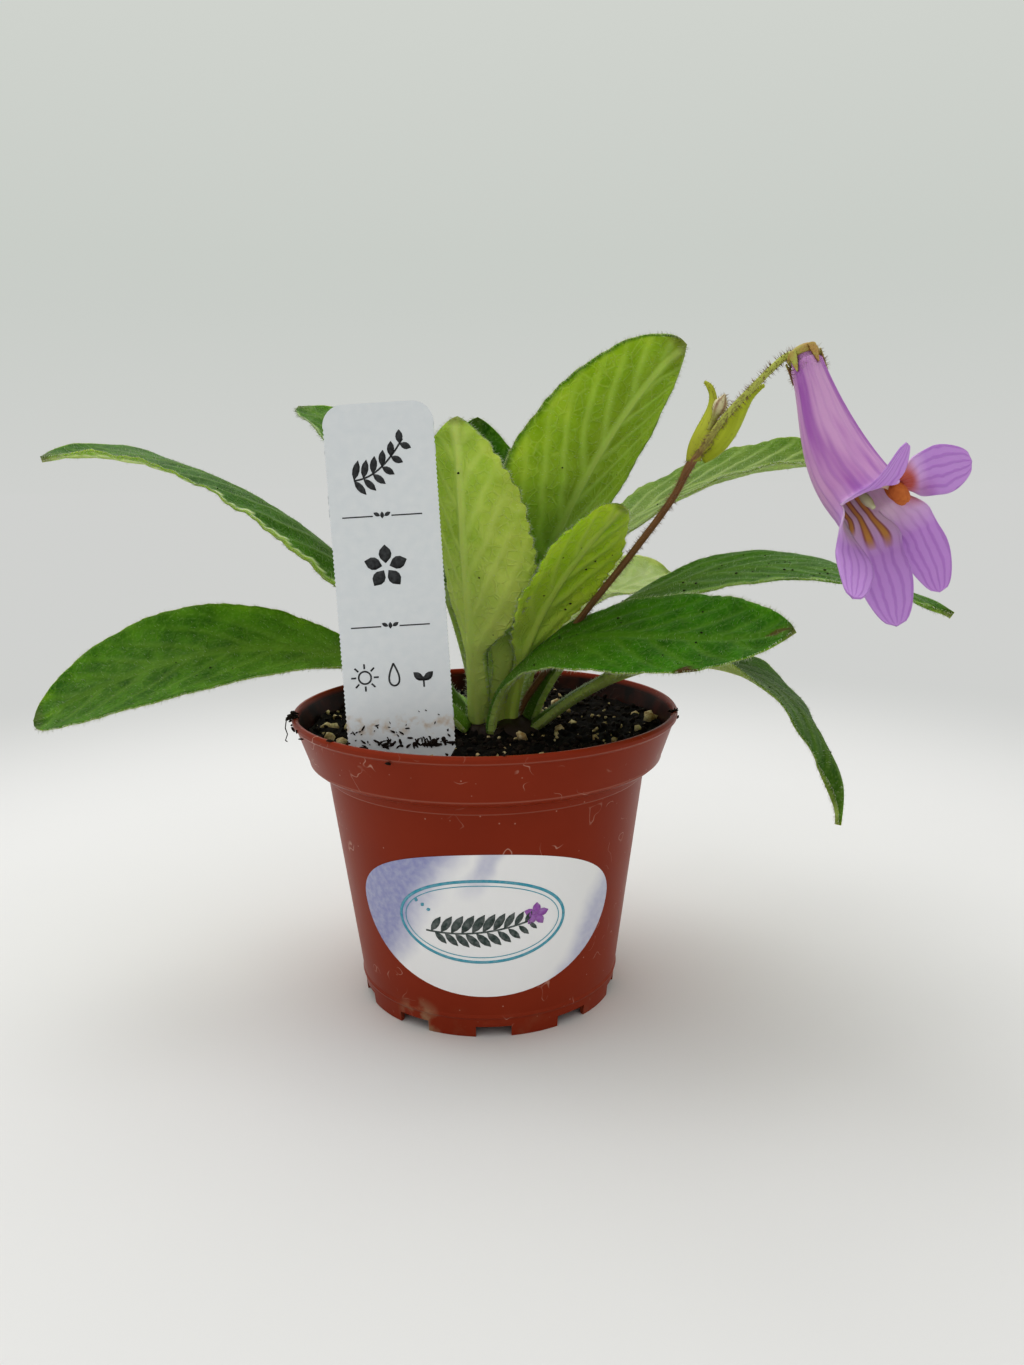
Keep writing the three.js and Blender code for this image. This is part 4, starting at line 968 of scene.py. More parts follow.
def blade_finish(name, tint, tint_share, veins, nets, ribs, foot, rise, gloss, roughness):
    """Leaf tissue that mottles between its leaf's deep and light greens and shows its veins.

    Veins, net, rib and the leaf's foot take a share each of the light green that is tinted by
    tint_share; the foot's share is partly its paler petiole green and partly painted light that lifts
    the shade among the leaves. All lines rise from the skin, or sink into it where rise is below 0.
    """
    material, tree = new_finish(name)
    chart = add_node(tree, "UVMap")
    mottle = add_node(tree, "TexNoise", {"Vector": chart, "Scale": 13.0, "Detail": 5.0,
                                         "Roughness": 0.6})
    mottled = add_node(tree, "MapRange", {0: mottle, 1: 0.35, 2: 0.65})
    deep = add_node(tree, "Attribute", attribute_name="deep")
    light = add_node(tree, "Attribute", attribute_name="light")
    reach = add_node(tree, "Attribute", attribute_name="reach").outputs["Fac"]
    vein, rib, net = vein_masks(tree, chart)
    lines = 0.0
    for mask, share in ((vein, veins), (net, nets), (rib, ribs)):
        part = add_node(tree, "Math", {0: mask, 1: share}, operation="MULTIPLY")
        lines = add_node(tree, "Math", {0: part, 1: lines}, operation="MAXIMUM")
    # Painted light: the leaf's foot is lightened towards its petiole, partly its own paler green and
    # partly to lift the shade that falls among the leaves there.
    foot_share = add_node(tree, "MapRange", {0: reach, 1: 0.65, 2: 0.2, 4: foot})
    tip = add_node(tree, "MapRange", {0: reach, 1: 0.975, 2: 1.0, 4: 1.2})
    withered = add_node(tree, "Math", {0: tip, 1: mottle}, operation="MULTIPLY")
    down = add_node(tree, "TexNoise", {"Vector": chart, "Scale": 120.0})
    downy = add_node(tree, "MapRange", {0: down, 1: 0.5, 2: 0.75, 4: 0.11})
    tinted = add_node(tree, "Mix", {0: tint_share, 6: light, 7: tint}, data_type="RGBA")
    colour = add_node(tree, "Mix", {0: mottled, 6: deep, 7: light}, data_type="RGBA")
    for share, over in ((lines, tinted), (foot_share, tinted), (withered, "3c2a1c"),
                        (downy, "c8dca0")):
        colour = add_node(tree, "Mix", {0: share, 6: colour, 7: over}, data_type="RGBA")
    rough = add_node(tree, "Math", {0: down, 1: 0.25, 2: mottle}, operation="MULTIPLY_ADD")
    raised = add_node(tree, "Math", {0: lines, 1: rise, 2: rough}, operation="MULTIPLY_ADD")
    relief = add_node(tree, "Bump", {"Strength": 0.8, "Distance": 0.0007, "Height": raised})
    close_finish(tree, {
        "Base Color": colour, "Roughness": roughness, "Normal": relief, "IOR": 1.42,
        "Specular IOR Level": gloss, "Sheen Weight": 0.03, "Sheen Roughness": 0.4,
        "Sheen Tint": "dfe8cf", "Subsurface Weight": 0.4, "Subsurface Radius": (0.7, 1.0, 0.2),
        "Subsurface Scale": 0.003})
    return material


# Upper faces are waxy and satin, with sunken veins only a little lighter than the green. The
# undersides have air beneath their skin, so they are duller and paler, with raised veins. The
# back right leaf is furrowed deeply between pale ridges.
blade_upper = blade_finish("waxy upper leaf skin", tint="a0bc50", tint_share=0.3, veins=0.34,
                           nets=0.16, ribs=0.4, foot=0.5, rise=-1.0, gloss=0.1, roughness=0.45)
blade_under = blade_finish("matt leaf underside skin", tint="d8e690", tint_share=0.5, veins=0.48,
                           nets=0.3, ribs=0.85, foot=1.0, rise=1.0, gloss=0.12, roughness=0.6)
blade_ridged = blade_finish("pale ridged leaf skin", tint="b8c884", tint_share=0.7, veins=0.5,
                            nets=0.1, ribs=0.6, foot=0.5, rise=-1.6, gloss=0.1, roughness=0.5)

# Plant hairs: clear, hollow and about 0.05 mm thick, so they read as white down. They are drawn
# 0.11 mm thick at their foot, and 0.13 mm on the margins, because thinner ones don't show.
plant_hair = two_tone("clear plant hair", 900.0, 2.0, ("a4b088", "f0f4e4"), 0.5, 0.4)

# What all leaves share where their own values don't differ: the petiole's width as a share of
# the blade's and its depth, teeth, waves, thickness at the margin and middle, and relief.
leaf_form = dict(blade_petiole_share=0.15, petiole_depth=0.6, narrowest=0.5, tooth=0.35,
                 tooth_step=4.6, wave=0.35, turn_up=0.3, margin=0.45, middle=1.0, relief=1.6)
hair_rng = random.Random(7)
for seed, (name, leaf) in enumerate(leaves.items()):
    bm = bmesh.new()
    point = leaf_shell(bm, leaf, LEAF_ROWS, LEAF_COLUMNS, leaf_form, seed, 1)
    add_leaf_hairs(bm, leaf, point, 6.5, 0.7, 1.15, 2)
    for k in range(leaf.get("specks", 4)):
        s, v = hair_rng.uniform(0.3, 0.85), hair_rng.uniform(-0.8, 0.8)
        spot = point(s, v, leaf.get("facing", 1))[0]
        size = hair_rng.uniform(0.12, 0.4) * MM
        speck = Matrix.Translation(spot) @ Matrix.Diagonal((size, size, size * 0.8, 1))
        add_copy(bm, grain_shapes[k % 4], speck, 3)
    slot = next(row["material_slot"] for row in frame["record"]["subparts"] if row["node"] == name)
    top = blade_ridged if name == "leaf_right_back" else blade_upper
    finishes = [top, blade_under, plant_hair, bark]
    finish_piece(bm, name.replace("leaf_", "blade_"), finishes, slot, name)

# Flower stalk: a slim round stem, brown and bristly, that turns yellow-green above the pair of
# bracts and ends in the drooping flower.
STALK_RADIUS, STALK_HAIRS = 0.88, 2600
stalk_path = [Vector(point) for point in (
    (8, 1.2, 73), (11.2, -0.4, 80), (16.2, -3.8, 88), (24, -12, 102), (35, -21, 118),
    (44, -33, 133), (47, -40, 141), (49.8, -43.2, 145.4), (53, -47, 151), (57.6, -53, 156.9),
    (61, -56.4, 160.8), (63.2, -57.7, 162.7), (64.8, -58.3, 163.1))]


def on_path(path, s):
    """The point at s, from 0 to 1, of the smooth curve through a path, by its points' count."""
    t = min(max(s, 0.0), 1.0) * (len(path) - 1)
    i = min(int(t), len(path) - 2)
    t -= i
    a, b, c, d = (path[min(max(k, 0), len(path) - 1)] for k in (i - 1, i, i + 1, i + 2))
    curve = 2 * b + (c - a) * t + (2 * a - 5 * b + 4 * c - d) * t * t
    return 0.5 * (curve + (3 * b - a - 3 * c + d) * t ** 3)


def add_tube(bm, centre, radius, around, along):
    """Adds a closed tube: centre(s) is its middle line and radius(s) its radius, in mm."""
    bm.loops.layers.uv.verify()
    flat = bmesh.ops.create_grid(bm, x_segments=around, y_segments=along, size=1)["verts"]
    rows = []
    side = Vector((0.3, -1, 0.2))
    for k in range(along + 1):
        s = k / along
        way = (centre(min(1.0, s + 0.01)) - centre(max(0.0, s - 0.01))).normalized()
        side = (side - way * side.dot(way)).normalized()
        rows.append((s, centre(s), side.copy(), way.cross(side)))
    places = {}
    for vert in flat:
        s, middle, side, other = rows[round((vert.co.y + 1) / 2 * along)]
        turn = (vert.co.x + 1) * math.pi
        places[vert] = ((vert.co.x + 1) / 2, s)
        vert.co = (middle + (side * math.cos(turn) + other * math.sin(turn)) * radius(s)) * MM
    lay_chart(bm, faces_of(flat), places)
    bmesh.ops.remove_doubles(bm, verts=flat, dist=0.002 * MM)
    rims = [edge for edge in bm.edges if edge.is_boundary]
    bmesh.ops.holes_fill(bm, edges=rims, sides=around)
    bmesh.ops.recalc_face_normals(bm, faces=bm.faces[:])


def stalk_radius(s):
    """The stalk's radius in mm, which tapers and swells at the bracts' joint."""
    return STALK_RADIUS * (1.02 - 0.28 * s + 0.25 * math.exp(-((s - 0.5) / 0.03) ** 2))


bm = bmesh.new()
add_tube(bm, lambda s: on_path(stalk_path, s), stalk_radius, 20, 150)
stretches = [(b - a).length for a, b in zip(stalk_path, stalk_path[1:])]
for k in range(STALK_HAIRS):
    s = (rng.choices(range(len(stretches)), stretches)[0] + rng.random()) / len(stretches)
    middle = on_path(stalk_path, s)
    way = on_path(stalk_path, min(1, s + 0.01)) - on_path(stalk_path, max(0, s - 0.01))
    way = way.normalized()
    out = Vector((rng.gauss(0, 1), rng.gauss(0, 1), rng.gauss(0, 1)))
    out = (out - way * out.dot(way)).normalized()
    root = (middle + out * STALK_RADIUS * 0.7) * MM
    add_hair(bm, root, out + way * rng.uniform(-0.3, 0.3), rng.uniform(0.6, 1.5), 1, 0.07)

# Stem skin: brown with a faint violet cast, streaked lengthwise, yellow-green past the bracts.
# Its bristles are brown at the foot and paler at their tips.
stalk_skin, tree = new_finish("bristly stem skin")
chart = add_node(tree, "UVMap")
along = add_node(tree, "SeparateXYZ", {0: chart}).outputs[1]
long_way = add_node(tree, "Mapping", {"Vector": chart, "Scale": (9, 26, 1)})
streaks = add_node(tree, "TexNoise", {"Vector": long_way, "Scale": 1.0, "Detail": 4.0})
from_foot = add_node(tree, "Math", {0: streaks, 1: 0.16, 2: along}, operation="MULTIPLY_ADD")
green_share = add_node(tree, "MapRange", {0: from_foot, 1: 0.6, 2: 0.76})
browns = add_node(tree, "Mix", {0: streaks, 6: "583724", 7: "a67850"}, data_type="RGBA")
colour = add_node(tree, "Mix", {0: green_share, 6: browns, 7: "bcc460"}, data_type="RGBA")
close_finish(tree, {"Base Color": colour, "Roughness": 0.5, "Specular IOR Level": 0.35})
bristle = two_tone("stem bristle", 120.0, 2.0, ("644836", "b09474"), 0.5)
finish_piece(bm, "flower_stem", [stalk_skin, bristle], "stalk_tissue", "flower_stalk")

# Bracts and bud: a pair of boat-shaped yellow-green bracts at the stem's joint, bristly on
# their backs and hooked at their tips, and between them a closed bud with brown hairs.
bracts = {
    "bract_left": dict(
        root=(46.9, -40.4, 142), heading=(182, 180, 172), rise=(90, 117, 108, 26),
        roll=(10, 10, 0), fold=(34, 26, 8), length=18.5, width=9.5, petiole=0, peak=0.32,
        upper=("98a01c", "c4ca48"), under=("98a01c", "c4ca48")),
    "bract_right": dict(
        root=(50.4, -39.0, 142.2), heading=(-26, -32, -36), rise=(22, 54, 66, 14),
        roll=(0, 0, 0), fold=(30, 22, 10), length=21, width=9.8, petiole=0, peak=0.36,
        upper=("9cac18", "c8d63c"), under=("9cac18", "c8d63c")),
}
bract_form = dict(blade_petiole_share=0.55, petiole_depth=0.27, narrowest=0.45, tooth=0.0,
                  tooth_step=5.0, wave=0.1, turn_up=0.0, margin=0.45, middle=0.8, relief=0.35)

# Bract flesh: thin yellow-green leaf tissue, brown-streaked near its foot, with fine veins.
bract_skin, tree = new_finish("bract leaf tissue")
chart = add_node(tree, "UVMap")
long_way = add_node(tree, "Mapping", {"Vector": chart, "Scale": (90, 9, 1)})
streaks = add_node(tree, "TexNoise", {"Vector": long_way, "Scale": 1.0, "Detail": 3.0})
deep = add_node(tree, "Attribute", attribute_name="deep")
light = add_node(tree, "Attribute", attribute_name="light")
reach = add_node(tree, "Attribute", attribute_name="reach").outputs["Fac"]
foot_share = add_node(tree, "MapRange", {0: reach, 1: 0.4, 2: 0.0, 4: 0.5})
rusty = add_node(tree, "Math", {0: foot_share, 1: streaks}, operation="MULTIPLY")
greens = add_node(tree, "Mix", {0: streaks, 6: deep, 7: light}, data_type="RGBA")
colour = add_node(tree, "Mix", {0: rusty, 6: greens, 7: "8a6a38"}, data_type="RGBA")
relief = add_node(tree, "Bump", {"Strength": 0.3, "Distance": 0.0002, "Height": streaks})
close_finish(tree, {"Base Color": colour, "Roughness": 0.55, "Normal": relief,
                    "Specular IOR Level": 0.3})
for seed, (name, bract) in enumerate(bracts.items()):
    bm = bmesh.new()
    point = leaf_shell(bm, bract, 44, 16, bract_form, 20 + seed, 0)
    add_leaf_hairs(bm, bract, point, 4.0, 2.2, 0.8, 1)
    finish_piece(bm, name.replace("bract_", "boat_bract_"), [bract_skin, bristle], "bract_green", name)

BUD_HAIRS = 260
bud_foot, bud_tip = Vector((50.1, -42.2, 146.9)), Vector((53.5, -44.9, 156.0))
bud_way = (bud_tip - bud_foot).normalized()
bud_side = bud_way.orthogonal().normalized()


def bud_radius(s):
    """The bud's radius in mm: a thin foot, a swelling and a closed point."""
    return 0.6 + 0.9 * ramp(s, 0.42, 0.72) - 1.25 * ramp(s, 0.78, 1.02)


bm = bmesh.new()
add_tube(bm, lambda s: bud_foot.lerp(bud_tip, s), bud_radius, 16, 40)
for k in range(BUD_HAIRS):
    s, turn = rng.uniform(0.1, 1.0), rng.uniform(0, 6.28)
    out = bud_side * math.cos(turn) + bud_way.cross(bud_side) * math.sin(turn)
    root = (bud_foot.lerp(bud_tip, s) + out * bud_radius(s) * 0.9) * MM
    add_hair(bm, root, out + bud_way * 0.9, rng.uniform(0.5, 1.1), 1)

# Bud scales: five pale tan ones with brown ribs, closed to a point on a green foot.
bud_skin, tree = new_finish("bud scale tissue")
across, along, _ = add_node(tree, "SeparateXYZ", {0: add_node(tree, "UVMap")}).outputs
turns = add_node(tree, "Math", {0: across, 1: 5 * 2 * math.pi}, operation="MULTIPLY")
ribbed = add_node(tree, "Math", {0: turns}, operation="SINE")
rib_share = add_node(tree, "MapRange", {0: ribbed, 1: -0.2, 2: 1.0})
upper_share = add_node(tree, "MapRange", {0: along, 1: 0.45, 2: 0.7})
scales = add_node(tree, "Mix", {0: rib_share, 6: "dcd4ac", 7: "a88a6c"}, data_type="RGBA")
colour = add_node(tree, "Mix", {0: upper_share, 6: "a8ab55", 7: scales}, data_type="RGBA")
close_finish(tree, {"Base Color": colour, "Roughness": 0.6})
finish_piece(bm, "closed_bud", [bud_skin, bristle], "bract_green", "flower_bud")

# Flower: one lilac corolla tube 36 mm long that bellies to a wide throat and spreads in five
# rounded lobes, two above and three below. It is thin petal tissue grown as one piece.
TUBE_LENGTH, TUBE_BELLY, PETAL_THICK = 36.0, 3.4, 0.36
LOBE_START, LOBE_ROWS, LOBE_COLUMNS, TUBE_ROWS = 0.93, 32, 16, 60
tube_base = Vector((66.2, -59.3, 162.4))
heading, dip, turn_angle = math.radians(-62), math.radians(51.6), math.radians(10)
down = Vector((math.cos(dip) * math.cos(heading), math.cos(dip) * math.sin(heading), -math.sin(dip)))
level_across = Vector((-math.sin(heading), math.cos(heading), 0))
steep_up = down.cross(level_across)
steep_up = steep_up if steep_up.z > 0 else -steep_up
top_side = steep_up * math.cos(turn_angle) + level_across * math.sin(turn_angle)
sideways = down.cross(top_side)

# Each lobe's sector of the mouth in degrees from the upper side, its tip in mm, the way across
# its tip, how steeply in degrees it leaves the tube, its width in mm and how deeply it cups.
lobes = (
    dict(sector=(5, 100), tip=(75.8, -93, 145.6), across=(0.66, 0.74, -0.1), leave=30,
         width=7.4, cup=0.03),
    dict(sector=(100, 190), tip=(67.6, -94, 118.6), across=(0.8, 0.6, 0.1), leave=-8,
         width=7.4, cup=0.02),
    dict(sector=(190, 250), tip=(78.9, -85, 112), across=(0.95, -0.3, 0.12), leave=-5,
         width=9.6, cup=0.02),
    dict(sector=(250, 305), tip=(90.4, -75, 117), across=(0.8, -0.27, 0.45), leave=30,
         width=8.4, cup=0.02),
    dict(sector=(305, 365), tip=(92.3, -81, 142), across=(-0.36, 0.1, 0.93), leave=78,
         width=9.0, cup=0.02),
)


def tube_middle(s):
    """The tube's middle line, which bellies out on its lower side, in mm."""
    belly = TUBE_BELLY * math.sin(math.pi * min(1.0, max(0.0, s)) ** 1.25 * 0.86)
    return tube_base + down * TUBE_LENGTH * s - top_side * belly


def tube_radius(s):
    """The tube's outer radius, which swells to the throat, in mm."""
    return through((3.3, 4.1, 5.6, 6.7, 7), min(1.0, max(0.0, s))) + max(0.0, s - 1) * 4


def spoke(angle):
    """The way out from the tube's middle line at an angle from its upper side."""
    return top_side * math.cos(angle) + sideways * math.sin(angle)


def tube_point(s, angle):
    """A point of the corolla tube's skin, with its lengthwise pleats between the lobes."""
    pleat = 0.16 * math.cos(5 * (angle - math.pi)) * ramp(s, 0.1, 0.9)
    return tube_middle(s) + spoke(angle) * (tube_radius(s) - (0.5 if s < 0.06 else 0) + pleat)


def sector_angle(lobe, v):
    """The angle round the tube at v, from -1 to 1, across a lobe's own part of the mouth."""
    first, last = lobe["sector"]
    return math.radians((first + last) / 2 + (last - first) / 2 * v)


def lobe_point(lobe, v, q):
    """A point of a petal lobe: v across it from -1 to 1, q along it from the mouth to its tip."""
    middle_angle = sector_angle(lobe, 0)
    root = tube_point(LOBE_START, sector_angle(lobe, v))
    root_middle = tube_point(LOBE_START, middle_angle)
    leave = math.radians(lobe["leave"])
    out_way = down * math.cos(leave) + spoke(middle_angle) * math.sin(leave)
    tip = Vector(lobe["tip"])
    bend = root_middle + out_way * (tip - root_middle).length * 0.45
    middle = root_middle * (1 - q) ** 2 + bend * 2 * q * (1 - q) + tip * q * q
    way = ((bend - root_middle) * (1 - q) + (tip - bend) * q).normalized()
    root_across, tip_across = spoke(middle_angle + math.pi / 2), Vector(lobe["across"])
    if tip_across.dot(root_across) < 0:
        tip_across = -tip_across
    across = root_across.lerp(tip_across, ramp(q, 0.0, 0.55)).normalized()
    across = (across - way * across.dot(way)).normalized()
    round_off = math.sqrt(max(0.0, 1 - (max(0.0, q - 0.55) / 0.45) ** 2.4))
    half = v * lobe["width"] / 2 * (0.85 + 0.15 * ramp(q, 0.2, 0.6))
    half *= ramp(q, 0.0, 0.3) * round_off
    half += 0.25 * math.sin(q * 11 + 2 * v) * q * abs(v) ** 3
    off = (root - root_middle) * (1 - ramp(q, 0.0, 0.5))
    crimp = 0.22 * math.cos(v * 9 + q * 2) * ramp(q, 0.1, 0.5) * (1 - q)
    lift = lobe["cup"] * half * half * ramp(q, 0.2, 0.8) + crimp
    return middle + off + across * half + way.cross(across) * lift


bm = bmesh.new()
bm.loops.layers.uv.verify()
charted = {}
flat = bmesh.ops.create_grid(bm, x_segments=5 * LOBE_COLUMNS, y_segments=TUBE_ROWS, size=1)["verts"]
for vert in flat:
    share, s = (vert.co.x + 1) / 2, (vert.co.y + 1) / 2 * LOBE_START
    charted[vert] = (share, s)
    part = min(4, int(share * 5 + 0.0001))
    vert.co = tube_point(s, sector_angle(lobes[part], (share * 5 - part) * 2 - 1)) * MM
for part, lobe in enumerate(lobes):
    flat = bmesh.ops.create_grid(bm, x_segments=LOBE_COLUMNS, y_segments=LOBE_ROWS, size=1)["verts"]
    for vert in flat:
        v, q = vert.co.x, (vert.co.y + 1) / 2
        charted[vert] = ((part + (v + 1) / 2) / 5, LOBE_START + q)
        vert.co = lobe_point(lobe, v, q) * MM
lay_chart(bm, bm.faces, charted)
bmesh.ops.remove_doubles(bm, verts=bm.verts[:], dist=0.01 * MM)
bmesh.ops.recalc_face_normals(bm, faces=bm.faces[:])
low_face = min(bm.faces, key=lambda face: (face.calc_center_median() - tube_base * MM).length)
if low_face.normal.dot(low_face.calc_center_median() - tube_middle(0.02) * MM) < 0:
    bmesh.ops.reverse_faces(bm, faces=bm.faces[:])

# Petal tissue, outside and inside: soft and matt, lilac with deeper purple lines along it and a
# pinker, paler belly. Inside, the throat is whitish with rust-edged ochre guides and a rust spot.
PETAL_LINES = 25
petals = []
for side_name, inside in (("outer petal tissue", False), ("inner petal tissue", True)):
    petal, tree = new_finish(side_name)
    chart = add_node(tree, "UVMap")
    around, along, _ = add_node(tree, "SeparateXYZ", {0: chart}).outputs
    waver = add_node(tree, "TexNoise", {"Vector": chart, "Scale": 5.0})
    wavered = add_node(tree, "Math", {0: waver, 1: 0.03, 2: around}, operation="MULTIPLY_ADD")
    turns = add_node(tree, "Math", {0: wavered, 1: PETAL_LINES * 2 * math.pi},
                     operation="MULTIPLY")
    lined = add_node(tree, "Math", {0: turns}, operation="SINE")
    line_share = add_node(tree, "MapRange", {0: lined, 1: 0.1}, interpolation_type="SMOOTHSTEP")
    wide = add_node(tree, "Mapping", {"Vector": chart, "Scale": (9, 0.7, 1)})
    band = add_node(tree, "TexNoise", {"Vector": wide, "Scale": 1.0, "Detail": 3.0})
    band_share = add_node(tree, "MapRange", {0: band, 1: 0.4, 2: 0.62},
                          interpolation_type="SMOOTHSTEP")
    lobe_share = add_node(tree, "MapRange", {0: along, 1: 0.85, 2: 1.15})
    base_share = add_node(tree, "MapRange", {0: along, 1: 0.2, 2: 0.0, 4: 0.5})
    line_depth = add_node(tree, "MapRange", {0: along, 1: 0.6, 2: 1.1, 3: 0.1, 4: 0.34})
    line_part = add_node(tree, "Math", {0: line_share, 1: line_depth}, operation="MULTIPLY")
    layers = [(band_share, "a260ae"), (lobe_share, "c49ada"), (base_share, "c494c8"),
              (line_part, "9058ae")]
    if inside:
        throat = add_node(tree, "MapRange", {0: along, 1: 1.34, 2: 1.0, 4: 0.8})
        layers.append((throat, "f2dcea"))
        for middle, start, end in ((0.49, 1.16, 1.28), (0.55, 1.16, 1.3), (0.43, 1.02, 1.1)):
            guide = add_node(tree, "MapRange", {0: along, 1: end, 2: start, 4: 0.9})
            for code, outer, inner in (("8e4e28", 0.02, 0.013), ("d8ac50", 0.014, 0.006)):
                line = near(tree, around, middle, outer, inner)
                share = add_node(tree, "Math", {0: line, 1: guide}, operation="MULTIPLY")
                layers.append((share, code))
        from_spot = add_node(tree, "VectorMath", {0: chart, 1: (0.93, 0.98, 0)},
                             operation="DISTANCE")
        spot = add_node(tree, "MapRange", {0: from_spot, 1: 0.25, 2: 0.1, 4: 0.92},
                        interpolation_type="SMOOTHSTEP")
        layers.append((spot, "b8541a"))
    colour = "cf9fca"
    for share, code in layers:
        colour = add_node(tree, "Mix", {0: share, 6: colour, 7: code}, data_type="RGBA")
    relief = add_node(tree, "Bump", {"Strength": 0.3, "Distance": 0.0003, "Height": line_share})
    close_finish(tree, {
        "Base Color": colour, "Roughness": 0.62, "Normal": relief, "Specular IOR Level": 0.2,
        "Sheen Weight": 0.08, "Sheen Roughness": 0.5, "Sheen Tint": "e6d4f0",
        "Subsurface Weight": 0.25, "Subsurface Radius": (1.0, 0.6, 1.0), "Subsurface Scale": 0.002})
    petals.append(petal)
corolla = finish_piece(bm, "corolla_tube", petals, "petal_lilac", "corolla")
wall = corolla.modifiers.new("petal thickness", "SOLIDIFY")
wall.thickness = PETAL_THICK * MM
wall.offset = -1
wall.use_even_offset = True
wall.material_offset = 1
wall.material_offset_rim = 1

# Calyx: a small cup with five narrow pointed sepals, green-tan and bristly, that clasps the
# tube's foot and joins it to the stem.
CALYX_HAIRS = 300
cup_radii = (0.4, 1.8, 3.0, 3.3, 3.3, 3.2)


def cup_radius(s):
    """The calyx cup's radius in mm, at s from its foot to its mouth."""
    t = s * (len(cup_radii) - 1)
    i = min(int(t), len(cup_radii) - 2)
    return cup_radii[i] + (cup_radii[i + 1] - cup_radii[i]) * (t - i)


bm = bmesh.new()
add_tube(bm, lambda s: tube_middle(-0.06 + 0.075 * s), cup_radius, 24, 16)
for k in range(5):
    centre_angle = 2 * math.pi * k / 5 + 0.3
    flat = bmesh.ops.create_grid(bm, x_segments=8, y_segments=20, size=1)["verts"]
    top = second_skin(bm, list(faces_of(flat)))
    for vert in list(top) + flat:
        q, v = (vert.co.y + 1) / 2, vert.co.x
        s = -0.01 + 0.12 * q
        half = math.radians(14) * (1 - q ** 1.6) + 0.02
        lift = 0.1 + 0.2 * (1 - v * v) * (1 - q) + (0.3 if vert in top else 0.0)
        vert.co = (tube_middle(s) + spoke(centre_angle + v * half) * (tube_radius(s) + lift)) * MM
    bmesh.ops.recalc_face_normals(bm, faces=list(faces_of(flat)))
for k in range(CALYX_HAIRS):
    s, turn = rng.uniform(0.0, 0.12), rng.uniform(0, 6.28)
    out = spoke(turn)
    root = (tube_middle(s) + out * (tube_radius(s) + 0.1)) * MM
    add_hair(bm, root, out + down * rng.uniform(-0.5, 0.5), rng.uniform(0.5, 1.2), 1, 0.045)

# Sepal tissue: tan-green skin with rusty blotches.
sepal_skin = two_tone("sepal tissue", 260.0, 3.0, ("b4bc5c", "b4924e"), 0.6, share=(0.4, 0.6, 1))
finish_piece(bm, "calyx_cup", [sepal_skin, bristle], "bract_green", "calyx")


# Pistil: a pale green ovary and the thin style from it down the tube's middle to its small stigma.
def pistil_radius(s):
    """The pistil's radius in mm: ovary, style, and the stigma that ends it."""
    ovary, stigma = 0.6 * (1 - ramp(s, 0.2, 0.4)), 0.45 * ramp(s, 0.86, 0.93)
    return 0.5 + ovary + stigma - 0.5 * ramp(s, 0.95, 1.0)


bm = bmesh.new()
add_tube(bm, lambda s: tube_middle(0.99 * s), pistil_radius, 14, 70)
style_skin = two_tone("style tissue", 200.0, 2.0, ("b9c47e", "dfe3bd"), 0.5)
finish_piece(bm, "style_and_stigma", [style_skin], "pistil_green", "pistil")


# Stamens: two pale filaments that bend up from the tube's sides and join at rust-orange
# anthers under the throat's roof, grainy with pollen.
def throat_point(s, angle_degrees, inset):
    """A point inside the throat, an inset in mm off its wall."""
    return tube_middle(s) + spoke(math.radians(angle_degrees)) * (tube_radius(s) - 0.8 - inset)


bm = bmesh.new()
for side in (-1, 1):
    path = [throat_point(*place) for place in (
        (0.5, 90 * side, 0.95), (0.68, 76 * side, 1.3), (0.86, 48 * side - 6, 1.5),
        (0.94, 22 * side - 20, 1.4), (0.98, 8 * side - 28, 1.2))]
    add_tube(bm, lambda s: on_path(path, s), lambda s: 0.5, 12, 40)
for side in (-1, 1):
    anther_mesh = bmesh.ops.create_uvsphere(bm, u_segments=20, v_segments=12, radius=1)["verts"]
    centre = throat_point(0.97 + 0.03 * side, 12 * side - 25, 1.0)
    for vert in anther_mesh:
        groove = 1 - 0.18 * math.exp(-(vert.co.z / 0.25) ** 2)
        spot = sideways * vert.co.x * 2.2 + down * vert.co.y * 2.6 * groove
        vert.co = (centre + spot + top_side * vert.co.z * 1.5) * MM
    for face in faces_of(anther_mesh):
        face.material_index = 1
bmesh.ops.recalc_face_normals(bm, faces=bm.faces[:])
filament = two_tone("filament tissue", 250.0, 2.0, ("d9b98a", "efe0c6"), 0.5)
anther = two_tone("anther with pollen", 1500.0, 3.0, ("b0561c", "d8843c"), 0.75,
                  relief=(0.5, 0.0002))
finish_piece(bm, "stamen_pair", [filament, anther], "stamen_orange", "stamens")

# Stage: a plain pale paper floor that fades evenly into a pale grey surround, so there is no
# horizon, a soft light from overhead and behind, and the camera at the photograph's place.
SURROUND_LOW, SURROUND_MIDDLE, SURROUND_HIGH = linear("c3c4c2"), linear("bcc0bb"), linear("c4c7c2")
bm = bmesh.new()
bmesh.ops.create_circle(bm, cap_ends=True, cap_tris=True, segments=96, radius=4.0)
floor = new_object(bm, "studio_floor")
paper, tree = new_finish("matt backdrop paper")
place = add_node(tree, "TexCoord").outputs["Object"]
fibre = add_node(tree, "TexNoise", {"Vector": place, "Scale": 8.0, "Detail": 3.0})
colour = add_node(tree, "Mix", {0: fibre, 6: "e4e4e3", 7: "e8e8e7"}, data_type="RGBA")
sheet = add_node(tree, "BsdfPrincipled", {"Base Color": colour, "Roughness": 0.9,
                                          "Specular IOR Level": 0.1})
reach = add_node(tree, "VectorMath", {0: place}, operation="LENGTH")
faded = add_node(tree, "MapRange", {0: reach, 1: 0.19, 2: 0.46}, interpolation_type="SMOOTHSTEP")
haze = add_node(tree, "Emission", {"Color": SURROUND_LOW})
